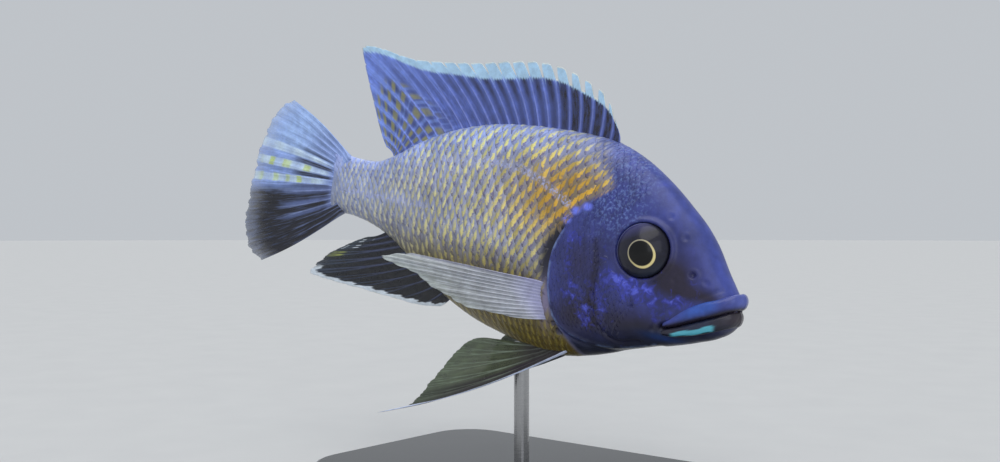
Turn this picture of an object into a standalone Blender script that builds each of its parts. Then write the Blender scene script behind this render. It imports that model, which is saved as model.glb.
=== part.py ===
"""A life-size peacock cichlid, held on a rod above a flat base.

The fish is laid out in its own straight frame, as shares of its body length: u runs from the snout (0)
to the tail base (1), y is the side (the fish's right is negative) and z is the height over its axis.
A function bends that frame sideways, and an empty tips the whole fish nose down over the stand.
"""
import math

import bmesh
import bpy
import numpy as np
from mathutils import Matrix, Vector

# Driving sizes, in metres and degrees
BODY_LENGTH = 0.100  # snout to tail base
NOSE_DOWN = 12.5
TAIL_BEND = 8.0  # how far the tail base turns to the fish's right
BEND_START = 0.35
BEND_POWER = 1.3
MIDDLE = 0.45  # the share of the body length that stands over the stand's middle
AXIS_HEIGHT = 0.050  # the fish's axis over the floor, there
GAP = 0.0003  # between nodes that touch

BASE_SIZE = (0.086, 0.052, 0.005)
BASE_CORNER = 0.010
BASE_EDGE = 0.0008
ROD_RADIUS = 0.0015
ROD_AT = 0.50  # where along the body the rod meets the belly

# Body outline, as shares of the body length
BACK = [(0.010, -0.012), (0.024, 0.004), (0.048, 0.034), (0.080, 0.078), (0.100, 0.099), (0.141, 0.131),
        (0.188, 0.163), (0.261, 0.200), (0.312, 0.215), (0.380, 0.220), (0.443, 0.219), (0.529, 0.214),
        (0.618, 0.201), (0.725, 0.168), (0.796, 0.134), (0.850, 0.100), (0.900, 0.075), (0.950, 0.070),
        (1.000, 0.072)]
BELLY = [(0.010, -0.054), (0.020, -0.068), (0.040, -0.084), (0.074, -0.101), (0.165, -0.138), (0.228, -0.164),
         (0.286, -0.188), (0.342, -0.205), (0.407, -0.211), (0.484, -0.207), (0.590, -0.192), (0.644, -0.176),
         (0.728, -0.138), (0.830, -0.086), (0.900, -0.066), (0.960, -0.060), (1.000, -0.062)]
HALF_WIDTH = [(0.010, 0.017), (0.024, 0.030), (0.060, 0.043), (0.100, 0.053), (0.150, 0.065), (0.200, 0.073),
              (0.270, 0.082), (0.350, 0.088), (0.450, 0.087), (0.550, 0.079), (0.650, 0.065), (0.750, 0.049),
              (0.850, 0.034), (0.930, 0.025), (1.000, 0.018)]
WIDEST_AT = [(0.010, -0.034), (0.100, -0.050), (0.200, -0.040), (0.350, -0.020), (0.500, 0.000),
             (1.000, 0.004)]
TOP_ROUNDNESS = [(0.000, 2.2), (0.200, 2.0), (0.400, 1.8), (0.800, 1.8), (1.000, 2.2)]
BELLY_ROUNDNESS = 2.1
SIDE_ROUNDNESS = 2.15

# Where the head, the lower jaw and the tail stalk part from their neighbours
OVER, UNDER = 0.320, -0.320  # heights that clear the whole body
MOUTH_LINE = [(-0.060, -0.024), (0.010, -0.029), (0.028, -0.037), (0.050, -0.050), (0.075, -0.062),
              (0.131, -0.087)]
MOUTH_OPEN = 0.0045  # half of the opening at the front
JAW_LINE = [(0.150, -0.102), (0.176, -0.128), (0.188, -0.160), (0.188, UNDER)]
GILL_LINE = [(0.285, OVER), (0.300, 0.190), (0.322, 0.100), (0.345, 0.045), (0.357, 0.010), (0.360, -0.040),
             (0.352, -0.090), (0.333, -0.135), (0.300, -0.172), (0.290, -0.215), (0.285, UNDER)]
GILL_POINTS = 33
COVER_FRONT = [(0.318, 0.058), (0.286, 0.044), (0.266, 0.010), (0.259, -0.040), (0.254, -0.080),
               (0.240, -0.112), (0.214, -0.132), (0.184, -0.136)]
COVER_UNDER = [(0.200, -0.148), (0.240, -0.160)]
COVER_POINTS = 16
COVER_HEIGHTS = (-0.174, 0.048)  # where its rear edge follows the gill line
POCKET_REAR = [(0.345, -0.186), (0.390, -0.130), (0.390, 0.000), (0.375, 0.034)]
COVER_DEPTH = 0.0016
COVER_INNER = 0.012  # how near to the middle plane the cover reaches under the throat
STALK_AT = 0.872
CLEAR_OF_BODY = 0.25  # a distance to the side that clears the whole body

# Eyes
EYE_AT = (0.184, 0.041)
EYE_RADIUS = 0.0052
EYE_BULGE = 0.0034
EYE_SUNK = 0.0017
EYE_LOOKS = (0.20, 1.0, 0.13)  # forward, outward, up
RIM_THICKNESS = 0.0006
NOSTRIL_AT = (0.090, 0.020)
NOSTRIL_RADIUS = 0.0007
NOSTRIL_LIP = 0.00035
NOSTRIL_LOOKS = (0.5, 1.0, 0.5)

# Lips: along the mouth from the front to the corner, as (share of the way, u, y, z, half height)
UPPER_LIP = [(0.00, 0.013, 0.000, -0.010, 0.0130), (0.30, 0.022, 0.019, -0.014, 0.0140),
             (0.50, 0.042, 0.031, -0.026, 0.0150), (0.70, 0.072, 0.040, -0.043, 0.0160),
             (0.88, 0.105, 0.046, -0.064, 0.0120), (1.00, 0.127, 0.048, -0.079, 0.0050)]
LOWER_LIP = [(0.00, 0.016, 0.000, -0.046, 0.0110), (0.30, 0.024, 0.018, -0.050, 0.0110),
             (0.50, 0.044, 0.029, -0.061, 0.0105), (0.70, 0.074, 0.038, -0.074, 0.0095),
             (0.88, 0.106, 0.044, -0.087, 0.0075), (1.00, 0.127, 0.047, -0.094, 0.0045)]
LIP_THICKNESS = 0.0100  # half, as a share of the body length

# Fins
MEMBRANE = 0.0005  # thickness
RAY_RIDGE = 0.00035  # how far a ray stands out of the membrane, on each face
FIN_EDGE = 0.00040
FIN_ROOT_THICK = 0.0017
FIN_ROOT_LENGTH = 0.20  # the share of each ray over which the fin swells into the body
RAY_FINE_FROM = 0.45  # the share of each ray, from its tip, over which it grows fine
ROWS = 7

# How finely the body is laid out: rings along it, and points round each ring
SNOUT_RINGS = [0.010, 0.017, 0.027, 0.040, 0.057]
HEAD_RINGS = SNOUT_RINGS + [0.078 + 0.024 * k for k in range(14)]
TORSO_RINGS = [0.262 + 0.0315 * k for k in range(21)]
STALK_RINGS = [0.855 + 0.0241667 * k for k in range(7)]
CLEAR_RINGS = [0.010, 0.024, 0.045] + [0.075 + 0.035 * k for k in range(26)]
CLEAR_GROW = GAP * 1.4  # the shape that cuts the fins back is coarser than the skin, so it stands further off
CORE_START = 0.12
HEAD_AROUND, TORSO_AROUND, STALK_AROUND, CLEAR_AROUND = 36, 34, 28, 40


def curve(points):
    """A smooth line through a few points, as a function of the first number of each."""
    x = np.array([p[0] for p in points], float)
    y = np.array([p[1:] for p in points], float)
    step = np.diff(x)[:, None]
    rise = np.diff(y, axis=0) / step
    inner = (rise[1:] * step[:-1] + rise[:-1] * step[1:]) / (step[1:] + step[:-1])
    slope = np.concatenate([rise[:1], inner, rise[-1:]])

    def at(value):
        i = int(np.clip(np.searchsorted(x, value) - 1, 0, len(x) - 2))
        h = x[i + 1] - x[i]
        t = min(max((value - x[i]) / h, 0.0), 1.0)
        a, b = 2 * t**3 - 3 * t**2 + 1, t**3 - 2 * t**2 + t
        c, d = 3 * t**2 - 2 * t**3, t**3 - t**2
        found = a * y[i] + b * h * slope[i] + c * y[i + 1] + d * h * slope[i + 1]
        return float(found[0]) if len(found) == 1 else found

    return at


def trace(points):
    """The same through points in a plane or in space, as a function of the share of the way along."""
    spans = [math.dist(a, b) for a, b in zip(points, points[1:])]
    along = np.concatenate([[0], np.cumsum(spans)]) / sum(spans)
    return curve([(s, *p) for s, p in zip(along, points)])


back, belly = curve(BACK), curve(BELLY)
half_width, widest_at = curve(HALF_WIDTH), curve(WIDEST_AT)
top_roundness = curve(TOP_ROUNDNESS)


def bend(u, y, z):
    """A point of the straight fish, in shares, to metres on the bent one, with its middle at the origin."""
    turn = math.radians(TAIL_BEND) / (1 - BEND_START) ** BEND_POWER
    steps = 24
    x_at, y_at = MIDDLE - min(u, BEND_START), 0.0
    if u > BEND_START:
        length = (u - BEND_START) / steps
        for k in range(steps):
            angle = turn * ((k + 0.5) * length) ** BEND_POWER
            x_at -= length * math.cos(angle)
            y_at -= length * math.sin(angle)
    angle = turn * max(u - BEND_START, 0.0) ** BEND_POWER
    return Vector((x_at - y * math.sin(angle), y_at + y * math.cos(angle), z)) * BODY_LENGTH


def section(u, angle, grow=0.0):
    """A point of the body's skin at u: angle 0 is the left side, 90 degrees the back. grow is in metres."""
    grow = grow / BODY_LENGTH
    middle = widest_at(u)
    side, rise = math.cos(angle), math.sin(angle)
    height = back(u) - middle if rise > 0 else middle - belly(u)
    roundness = top_roundness(u) if rise > 0 else BELLY_ROUNDNESS
    y = (half_width(u) + grow) * math.copysign(abs(side) ** (2 / SIDE_ROUNDNESS), side)
    z = middle + (height + grow) * math.copysign(abs(rise) ** (2 / roundness), rise)
    return y, z


def flank(u, z):
    """Half of the body's width at u and height z."""
    middle = widest_at(u)
    height = back(u) - middle if z > middle else middle - belly(u)
    roundness = top_roundness(u) if z > middle else BELLY_ROUNDNESS
    share = min(abs(z - middle) / height, 1.0)
    return half_width(u) * (1 - share**roundness) ** (1 / SIDE_ROUNDNESS)


def new_object(name, mesh, parent=None):
    """Puts a finished bmesh in the scene as an object."""
    data = bpy.data.meshes.new(name)
    mesh.to_mesh(data)
    mesh.free()
    made = bpy.data.objects.new(name, data)
    made.parent = parent
    bpy.context.scene.collection.objects.link(made)
    return made


def skin_over(rings, name):
    """A closed skin through rings of points, with a fan at each end."""
    mesh = bmesh.new()
    made = [[mesh.verts.new(p) for p in ring] for ring in rings]
    count = len(made[0])
    for one, two in zip(made, made[1:]):
        for k in range(count):
            n = (k + 1) % count
            mesh.faces.new((one[k], one[n], two[n], two[k]))
    for ring in (made[0], made[-1]):
        hub = mesh.verts.new(sum((v.co for v in ring), Vector()) / count)
        for k in range(count):
            mesh.faces.new((ring[k], ring[(k + 1) % count], hub))
    bmesh.ops.recalc_face_normals(mesh, faces=mesh.faces)
    return new_object(name, mesh)


def body_length_of(stations, around, name, grow=0.0, sink=None):
    """A length of the body, ring by ring. sink gives how far the skin lies lower at (u, z)."""
    rings = []
    for u in stations:
        ring = []
        for k in range(around):
            angle = 2 * math.pi * (k + 0.5) / around
            y, z = section(u, angle, grow)
            if sink:
                y -= math.copysign(sink(u, z), y)
            ring.append(bend(u, y, z))
        rings.append(ring)
    return skin_over(rings, name)


def prism(outline, low, high, name):
    """A cutter: an outline in (u, z), pulled straight across from low to high beside the middle plane."""
    mesh = bmesh.new()
    across = Vector((0, BODY_LENGTH, 0))
    face = mesh.faces.new([mesh.verts.new(bend(u, 0, z) + across * low) for u, z in outline])
    pulled = bmesh.ops.extrude_face_region(mesh, geom=[face])
    far = [v for v in pulled["geom"] if isinstance(v, bmesh.types.BMVert)]
    bmesh.ops.translate(mesh, verts=far, vec=across * (high - low))
    bmesh.ops.recalc_face_normals(mesh, faces=mesh.faces)
    return as_helper(new_object(name, mesh))


def as_helper(thing):
    thing.hide_render = True
    thing.display_type = "WIRE"
    return thing


def combine(thing, operation, *others, solver="EXACT"):
    """Applies a Boolean with each of the others to a mesh object, and keeps its largest closed surface."""
    for other in others:
        step = thing.modifiers.new(operation.lower(), "BOOLEAN")
        step.operation = operation
        step.solver = solver
        step.object = other
    graph = bpy.context.evaluated_depsgraph_get()
    data = bpy.data.meshes.new_from_object(thing.evaluated_get(graph))
    thing.modifiers.clear()
    thing.data = data
    keep_largest(thing)
    return thing


def keep_largest(thing):
    """Drops every closed surface of a mesh but the one with the largest box."""
    mesh = bmesh.new()
    mesh.from_mesh(thing.data)
    bmesh.ops.remove_doubles(mesh, verts=mesh.verts, dist=1e-7)
    mesh.verts.ensure_lookup_table()
    seen, groups = set(), []
    for start in mesh.verts:
        if start in seen:
            continue
        group, waiting = [], [start]
        seen.add(start)
        while waiting:
            vert = waiting.pop()
            group.append(vert)
            for edge in vert.link_edges:
                other = edge.other_vert(vert)
                if other not in seen:
                    seen.add(other)
                    waiting.append(other)
        groups.append(group)

    def reach(group):
        points = np.array([v.co for v in group])
        return float(np.linalg.norm(points.max(0) - points.min(0)))

    groups.sort(key=reach)
    loose = [v for group in groups[:-1] for v in group]
    bmesh.ops.delete(mesh, geom=loose, context="VERTS")
    mesh.to_mesh(thing.data)
    mesh.free()


def remove(*things):
    for thing in things:
        bpy.data.objects.remove(thing)


def shifted(line, by):
    """A polyline moved sideways by a distance in metres, to the left of its direction, its corners mitred."""
    points = [Vector(p) for p in line]
    lefts = [(b - a).orthogonal().normalized() for a, b in zip(points, points[1:])]
    moved = []
    for point, before, after in zip(points, lefts[:1] + lefts, lefts + lefts[-1:]):
        out = (before + after).normalized()
        moved.append(tuple(point + out * (by / BODY_LENGTH / max(out.dot(before), 0.3))))
    return moved


def material(name, colour, roughness, metallic=0.0):
    made = bpy.data.materials.new(name)
    made.use_nodes = True
    shader = made.node_tree.nodes["Principled BSDF"]
    shader.inputs["Base Color"].default_value = (*colour, 1.0)
    shader.inputs["Roughness"].default_value = roughness
    shader.inputs["Metallic"].default_value = metallic
    return made


def finish(thing, look, pose, smooth_angle=40):
    """Gives a node its material and smooth faces, and hangs it on the swimming pose."""
    thing.data.materials.clear()
    thing.data.materials.append(look)
    thing.data.shade_smooth()
    thing.data.set_sharp_from_angle(angle=math.radians(smooth_angle))
    thing.parent = pose


def gill_sink(u, z):
    """The flank lies a little deeper just behind the gill cover's edge."""
    edge = curve([(-z_at, u_at) for u_at, z_at in GILL_LINE])(-z)
    behind = max(u - edge, 0.0)
    return 0.006 * math.exp(-((behind / 0.030) ** 2))


def make_eye(side, grow, name):
    """A flattened ball, turned to look outwards, a little forwards and up."""
    u, z = EYE_AT
    forward, outward, up = EYE_LOOKS
    looks = Vector((forward, outward * side, up)).normalized()
    centre = bend(u, side * flank(u, z), z) - looks * EYE_SUNK
    mesh = bmesh.new()
    bmesh.ops.create_uvsphere(mesh, u_segments=22, v_segments=12, radius=1.0)
    size = Matrix.Diagonal((EYE_RADIUS + grow, EYE_RADIUS + grow, EYE_BULGE + grow, 1.0))
    turn = looks.to_track_quat("Z", "Y").to_matrix().to_4x4()
    bmesh.ops.transform(mesh, matrix=Matrix.Translation(centre) @ turn @ size, verts=mesh.verts)
    return new_object(name, mesh)


def ring_on_skin(side, at, radius, thickness, looks, segments, name):
    """A raised ring round a point of the head."""
    u, z = at
    forward, outward, up = looks
    axis = Vector((forward, outward * side, up)).normalized()
    centre = bend(u, side * flank(u, z), z)
    turn = axis.to_track_quat("Z", "Y").to_matrix()
    rings = []
    for k in range(segments):
        around = 2 * math.pi * k / segments
        out = turn @ Vector((math.cos(around), math.sin(around), 0))
        ring = []
        for j in range(6):
            tilt = 2 * math.pi * j / 6
            far = radius + thickness * math.cos(tilt)
            ring.append(centre + out * far + axis * thickness * math.sin(tilt))
        rings.append(ring)
    mesh = bmesh.new()
    made = [[mesh.verts.new(p) for p in ring] for ring in rings]
    for k in range(segments):
        one, two = made[k], made[(k + 1) % segments]
        for j in range(6):
            n = (j + 1) % 6
            mesh.faces.new((one[j], one[n], two[n], two[j]))
    bmesh.ops.recalc_face_normals(mesh, faces=mesh.faces)
    return new_object(name, mesh)


def ball_on_skin(side, at, radius, name):
    """A small ball round a point of the head, to cut a pit."""
    u, z = at
    mesh = bmesh.new()
    bmesh.ops.create_icosphere(mesh, subdivisions=1, radius=radius)
    bmesh.ops.translate(mesh, verts=mesh.verts, vec=bend(u, side * flank(u, z), z))
    return as_helper(new_object(name, mesh))


def make_lip(route, name, grow=0.0, stations=25, around=10):
    """A band that follows the mouth round the snout, from one corner to the other."""
    path = curve(route)
    rings = []
    for k in range(stations):
        way = 2 * k / (stations - 1) - 1
        side = math.copysign(1.0, way)
        u, y, z, half_height = path(abs(way))
        ahead = path(min(abs(way) + 0.02, 1.0)) - path(max(abs(way) - 0.02, 0.0))
        along = Vector((-ahead[0], side * ahead[1], 0.0)).normalized()
        if abs(way) < 0.01:
            along = Vector((0.0, 1.0, 0.0))
        out = Vector((abs(along.y), side * abs(along.x), 0.0))
        taper = min(1.0, 0.45 + 2.2 * (1.0 - abs(way)))
        centre = bend(u, side * y, z)
        if k in (0, stations - 1):
            centre += along * grow
        ring = []
        for j in range(around):
            angle = 2 * math.pi * j / around
            wide = (LIP_THICKNESS * taper * BODY_LENGTH + grow) * math.cos(angle)
            tall = (half_height * BODY_LENGTH + grow) * math.sin(angle)
            ring.append(centre + out * wide + Vector((0, 0, 1)) * tall)
        rings.append(ring)
    return skin_over(rings, name)


def fin_plate(name, root, tip, bow, rays, notch, root_thickness=FIN_ROOT_THICK):
    """A fin as one thin plate. root and tip give, for a share of the way along the fin, the ends of a ray
    as (u, y, z), and bow how far the ray curves away from a straight line. Every other column is a ray,
    raised on both faces. notch pulls the edge in between rays."""
    columns, rows = 2 * rays - 1, ROWS
    middle, half = [], []
    for k in range(columns):
        share = k / (columns - 1)
        is_ray = k % 2 == 0
        start, end = np.array(root(share)), np.array(tip(share))
        if not is_ray:
            end = end + (start - end) * notch
        column, thick = [], []
        for j in range(rows):
            t = j / (rows - 1)
            column.append(bend(*(start + (end - start) * t + np.array(bow(share, t)))))
            slab = MEMBRANE / 2 + (RAY_RIDGE if is_ray else 0.0) * min(1.0, (1.0 - t) / RAY_FINE_FROM)
            swell = max(0.0, 1.0 - t / FIN_ROOT_LENGTH) ** 1.5
            thick.append(slab + (root_thickness / 2 - slab) * swell if j < rows - 1 else FIN_EDGE / 2)
        middle.append(column)
        half.append(thick)
    grid = np.array([[list(p) for p in column] for column in middle])
    across = np.gradient(grid, axis=0)
    along = np.gradient(grid, axis=1)
    normal = np.cross(across, along)
    normal /= np.linalg.norm(normal, axis=2, keepdims=True)
    for _ in range(3):
        padded = np.pad(normal, ((1, 1), (0, 0), (0, 0)), mode="edge")
        normal = padded[:-2] + padded[1:-1] + padded[2:]
        normal /= np.linalg.norm(normal, axis=2, keepdims=True)
    offset = normal * np.array(half)[:, :, None]
    mesh = bmesh.new()
    faces = []
    for sign in (1, -1):
        faces.append([[mesh.verts.new(p) for p in column] for column in grid + sign * offset])
    for k in range(columns - 1):
        for j in range(rows - 1):
            for face in faces:
                a, b, c, d = face[k][j], face[k + 1][j], face[k + 1][j + 1], face[k][j + 1]
                if k % 2:
                    mesh.faces.new((a, b, c))
                    mesh.faces.new((a, c, d))
                else:
                    mesh.faces.new((a, b, d))
                    mesh.faces.new((b, c, d))
    front, rear = faces
    edge = [(k, 0) for k in range(columns)] + [(columns - 1, j) for j in range(1, rows)]
    edge += [(k, rows - 1) for k in range(columns - 2, -1, -1)] + [(0, j) for j in range(rows - 2, 0, -1)]
    for (k, j), (m, n) in zip(edge, edge[1:] + edge[:1]):
        mesh.faces.new((front[k][j], front[m][n], rear[m][n]))
        mesh.faces.new((front[k][j], rear[m][n], rear[k][j]))
    bmesh.ops.recalc_face_normals(mesh, faces=mesh.faces)
    return new_object(name, mesh)


def in_plane(line):
    """A traced line of (u, z) points as (u, y, z), on the fish's middle plane."""
    along = trace(line)

    def at(share):
        u, z = along(share)
        return (u, 0.0, z)

    return at


# Dorsal fin: 16 spines, then 10 soft rays whose tips run out to a point and back down
DORSAL_RAYS = 26
DORSAL_NOTCH = 0.05
DORSAL_SPINES = 16
DORSAL_ROOT_SPINES = (0.314, 0.700)
DORSAL_ROOT_SOFT = (0.716, 0.862)
DORSAL_TIPS_SPINY = [(0.326, 0.240), (0.345, 0.276), (0.370, 0.299), (0.404, 0.314), (0.445, 0.327),
                     (0.486, 0.335), (0.529, 0.337), (0.598, 0.330), (0.687, 0.316), (0.753, 0.309),
                     (0.812, 0.304)]
DORSAL_TIPS_SOFT = [(0.850, 0.303), (0.898, 0.308), (0.945, 0.315), (0.994, 0.312), (0.980, 0.272),
                    (0.958, 0.232), (0.938, 0.196), (0.918, 0.160), (0.898, 0.130), (0.880, 0.108)]
FIN_ROOT_DEPTH = 0.020


def dorsal_root(share):
    k = share * (DORSAL_RAYS - 1)
    if k <= DORSAL_SPINES - 1:
        low, high = DORSAL_ROOT_SPINES
        u = low + (high - low) * k / (DORSAL_SPINES - 1)
    else:
        low, high = DORSAL_ROOT_SPINES[1], DORSAL_ROOT_SOFT[1]
        u = low + (high - low) * (k - DORSAL_SPINES + 1) / (DORSAL_RAYS - DORSAL_SPINES)
    return (u, 0.0, back(u) - FIN_ROOT_DEPTH)


def dorsal_tip(share):
    k = share * (DORSAL_RAYS - 1)
    spiny = trace(DORSAL_TIPS_SPINY)
    if k <= DORSAL_SPINES - 1:
        u, z = spiny(k / (DORSAL_SPINES - 1))
        return (u, 0.0, z)
    soft = [DORSAL_TIPS_SPINY[-1]] + DORSAL_TIPS_SOFT
    u, z = curve([(n, *p) for n, p in enumerate(soft)])(k - DORSAL_SPINES + 1)
    return (u, 0.0, z)


def dorsal_bow(share, t):
    """Rays curve back a little, and the soft rear of the fin leans to the fish's right."""
    rear = max(0.0, share - 0.6) / 0.4
    return (-0.006 * math.sin(math.pi * t), -0.012 * rear**2 * t**2, 0.004 * math.sin(math.pi * t))


CAUDAL_RAYS = 18
CAUDAL_NOTCH = 0.015
CAUDAL_ROOT_THICK = 0.0026
CAUDAL_ROOT = [(0.972, 0.062), (0.985, 0.045), (0.990, 0.000), (0.985, -0.040), (0.972, -0.054)]
CAUDAL_TIPS = [(1.176, 0.166), (1.204, 0.150), (1.224, 0.120), (1.241, 0.076), (1.252, 0.028),
               (1.258, -0.023), (1.262, -0.069), (1.266, -0.118), (1.262, -0.165), (1.244, -0.202),
               (1.208, -0.222)]


def caudal_bow(share, t):
    """The outer rays sweep out in a curve, and the fan cups a little to the fish's left at its edges."""
    edge = 2 * share - 1
    return (0.0, 0.010 * edge**2 * t**2 - 0.004, -0.010 * edge * math.sin(math.pi * t))


ANAL_RAYS = 12
ANAL_NOTCH = 0.03
ANAL_ROOT = (0.640, 0.838)
ANAL_TIPS = [(0.680, -0.198), (0.735, -0.209), (0.800, -0.212), (0.870, -0.216), (0.940, -0.218),
             (1.005, -0.219), (1.062, -0.216), (1.044, -0.190), (1.015, -0.162), (0.980, -0.138),
             (0.944, -0.116), (0.905, -0.098)]


def anal_root(share):
    low, high = ANAL_ROOT
    u = low + (high - low) * share
    return (u, 0.0, belly(u) + FIN_ROOT_DEPTH)


def anal_tip(share):
    u, z = curve([(n, *p) for n, p in enumerate(ANAL_TIPS)])(share * (ANAL_RAYS - 1))
    return (u, 0.0, z)


def anal_bow(share, t):
    return (0.0, 0.006 * t**2, -0.005 * math.sin(math.pi * t))


PECTORAL_RAYS = 13
PECTORAL_NOTCH = 0.01
PECTORAL_SUNK = 0.014  # how deep the root lies in the flank
PECTORAL_ROOT = [(0.366, -0.062), (0.368, -0.085), (0.364, -0.108), (0.356, -0.132)]
PECTORAL_TIPS = [(0.640, -0.158, -0.068), (0.705, -0.176, -0.090), (0.668, -0.165, -0.096),
                 (0.625, -0.153, -0.107), (0.573, -0.139, -0.127), (0.531, -0.128, -0.139),
                 (0.454, -0.108, -0.139)]


def pectoral(side):
    """Root and tips of the pectoral fin on one side. The first rays run out to the fin's point."""
    base, tips = trace(PECTORAL_ROOT), trace(PECTORAL_TIPS)

    def root(share):
        u, z = base(share)
        return (u, side * (flank(u, z) - PECTORAL_SUNK), z)

    def tip(share):
        u, y, z = tips(share)
        return (u, side * abs(y), z)

    def bow(share, t):
        lift = 4 * t * (1 - t)
        return (0.0, side * 0.026 * lift * (1 - 0.5 * t), 0.006 * lift * (0.5 - share))

    return root, tip, bow


PELVIC_RAYS = 8
PELVIC_NOTCH = 0.02
PELVIC_ROOT = [(0.322, -0.196), (0.345, -0.203), (0.370, -0.207), (0.392, -0.208)]
PELVIC_TIPS = [(0.728, 0.088, -0.434), (0.665, 0.080, -0.402), (0.640, 0.074, -0.376), (0.620, 0.066, -0.340),
               (0.600, 0.056, -0.300), (0.578, 0.046, -0.260), (0.545, 0.036, -0.226), (0.490, 0.026, -0.213)]
PELVIC_SPREAD = 0.022  # distance of the root from the middle plane
PELVIC_SUNK = 0.014
LEFT_SWING = 0.10  # the share by which the left fin's tips are drawn forwards


def pelvic(side):
    """Root and tips of the pelvic fin on one side."""
    swing = LEFT_SWING if side > 0 else 0.0
    base = trace(PELVIC_ROOT)
    tips = curve([(n / (len(PELVIC_TIPS) - 1), *p) for n, p in enumerate(PELVIC_TIPS)])

    def root(share):
        u, z = base(share)
        return (u, side * (PELVIC_SPREAD + 0.010 * (1 - share)), z + PELVIC_SUNK)

    def tip(share):
        u, y, z = tips(share)
        return (u - swing * (u - PELVIC_ROOT[0][0]), side * y, z)

    def bow(share, t):
        lift = 4 * t * (1 - t)
        return (0.0, side * 0.006 * lift, -0.010 * lift * (1 - share))

    return root, tip, bow


def gill_line():
    """The line behind the gill covers, from above the back to below the belly."""
    along = trace(GILL_LINE)
    return [tuple(along(k / (GILL_POINTS - 1))) for k in range(GILL_POINTS)]


def parted(thing, outline):
    """Keeps what of a length of the body lies inside an outline in the side view."""
    region = prism(outline, -CLEAR_OF_BODY, CLEAR_OF_BODY, "region")
    combine(thing, "INTERSECT", region)
    remove(region)
    return thing


def mouth_edge(side):
    """An edge of the mouth over (1) or under (-1) the mouth line: open in front, shut at the corner."""
    corner = MOUTH_LINE[-1][0]
    return [(u, z + side * MOUTH_OPEN * (1 - max(u, 0) / corner)) for u, z in MOUTH_LINE]


def make_head_and_jaw(gill_front):
    """The head and, below the mouth line, the lower jaw."""
    ahead = MOUTH_LINE[0][0]
    head_outline = shifted(mouth_edge(1) + JAW_LINE, GAP / 2) + gill_front[::-1] + [(ahead, OVER)]
    jaw_outline = shifted(mouth_edge(-1) + JAW_LINE, -GAP / 2) + [(ahead, UNDER)]
    head = parted(body_length_of(HEAD_RINGS, HEAD_AROUND, "head"), head_outline)
    jaw = parted(body_length_of(HEAD_RINGS, HEAD_AROUND, "lower_jaw"), jaw_outline)
    return head, jaw


def make_torso_and_stalk():
    torso_outline = shifted(gill_line(), GAP / 2) + [(STALK_AT, UNDER), (STALK_AT, OVER)]
    start, end = STALK_AT + GAP / BODY_LENGTH, 1.1
    stalk_outline = [(start, UNDER), (end, UNDER), (end, OVER), (start, OVER)]
    torso = parted(body_length_of(TORSO_RINGS, TORSO_AROUND, "torso", sink=gill_sink), torso_outline)
    stalk = parted(body_length_of(STALK_RINGS, STALK_AROUND, "tail_stalk"), stalk_outline)
    return torso, stalk


def make_gill_covers(head, gill_front):
    """Plates let into the sides of the head, each in a pocket that is open towards the torso."""
    rings = [u for u in HEAD_RINGS if u > CORE_START]
    cover_core = as_helper(body_length_of(rings, HEAD_AROUND, "cover_core", grow=-COVER_DEPTH))
    pocket_core = as_helper(body_length_of(rings, HEAD_AROUND, "pocket_core", grow=-COVER_DEPTH - GAP))
    front = trace(COVER_FRONT)
    front = [tuple(front(k / (COVER_POINTS - 1))) for k in range(COVER_POINTS)] + COVER_UNDER
    low_end, high_end = COVER_HEIGHTS
    rear = [(u, z) for u, z in gill_front[::-1] if low_end < z < high_end]
    grown = shifted(front + rear[:1], -GAP) + POCKET_REAR
    covers = []
    for side, word in ((-1, "right"), (1, "left")):
        far = side * CLEAR_OF_BODY
        near = side * (COVER_INNER - GAP / BODY_LENGTH)
        pocket = prism(grown, min(near, far), max(near, far), "pocket")
        combine(pocket, "DIFFERENCE", pocket_core)
        combine(head, "DIFFERENCE", pocket, solver="MANIFOLD")
        near = side * COVER_INNER
        shape = prism(front + rear, min(near, far), max(near, far), "shape")
        cover = body_length_of(HEAD_RINGS, HEAD_AROUND, f"gill_cover_{word}")
        combine(cover, "INTERSECT", shape)
        combine(cover, "DIFFERENCE", cover_core)
        covers.append(cover)
        remove(shape, pocket)
    remove(cover_core, pocket_core)
    return covers


def make_eyes_and_nostrils(head):
    """Eyes in sockets with a raised rim, and nostrils as pits with a collar."""
    eyes = []
    for side, word in ((-1, "right"), (1, "left")):
        rim = ring_on_skin(side, EYE_AT, EYE_RADIUS - RIM_THICKNESS / 2, RIM_THICKNESS, EYE_LOOKS, 24, "rim")
        collar = ring_on_skin(side, NOSTRIL_AT, NOSTRIL_RADIUS, NOSTRIL_LIP, NOSTRIL_LOOKS, 10, "collar")
        pit = ball_on_skin(side, NOSTRIL_AT, NOSTRIL_RADIUS, "pit")
        socket = make_eye(side, GAP, "socket")
        combine(head, "DIFFERENCE", pit, solver="MANIFOLD")
        combine(head, "UNION", rim, collar, solver="MANIFOLD")
        combine(head, "DIFFERENCE", socket, solver="MANIFOLD")
        eyes.append(make_eye(side, 0.0, f"eye_{word}"))
        remove(rim, collar, pit, socket)
    return eyes


def make_lips(head, jaw):
    """The lips, let into the snout and the lower jaw."""
    upper_room = make_lip(UPPER_LIP, "upper_room", grow=GAP)
    lower_room = make_lip(LOWER_LIP, "lower_room", grow=GAP)
    upper_lip = make_lip(UPPER_LIP, "upper_lip")
    lower_lip = make_lip(LOWER_LIP, "lower_lip")
    combine(head, "DIFFERENCE", upper_room, lower_room, solver="MANIFOLD")
    combine(jaw, "DIFFERENCE", upper_room, lower_room)
    combine(lower_lip, "DIFFERENCE", upper_room)
    remove(upper_room, lower_room)
    return upper_lip, lower_lip


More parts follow.
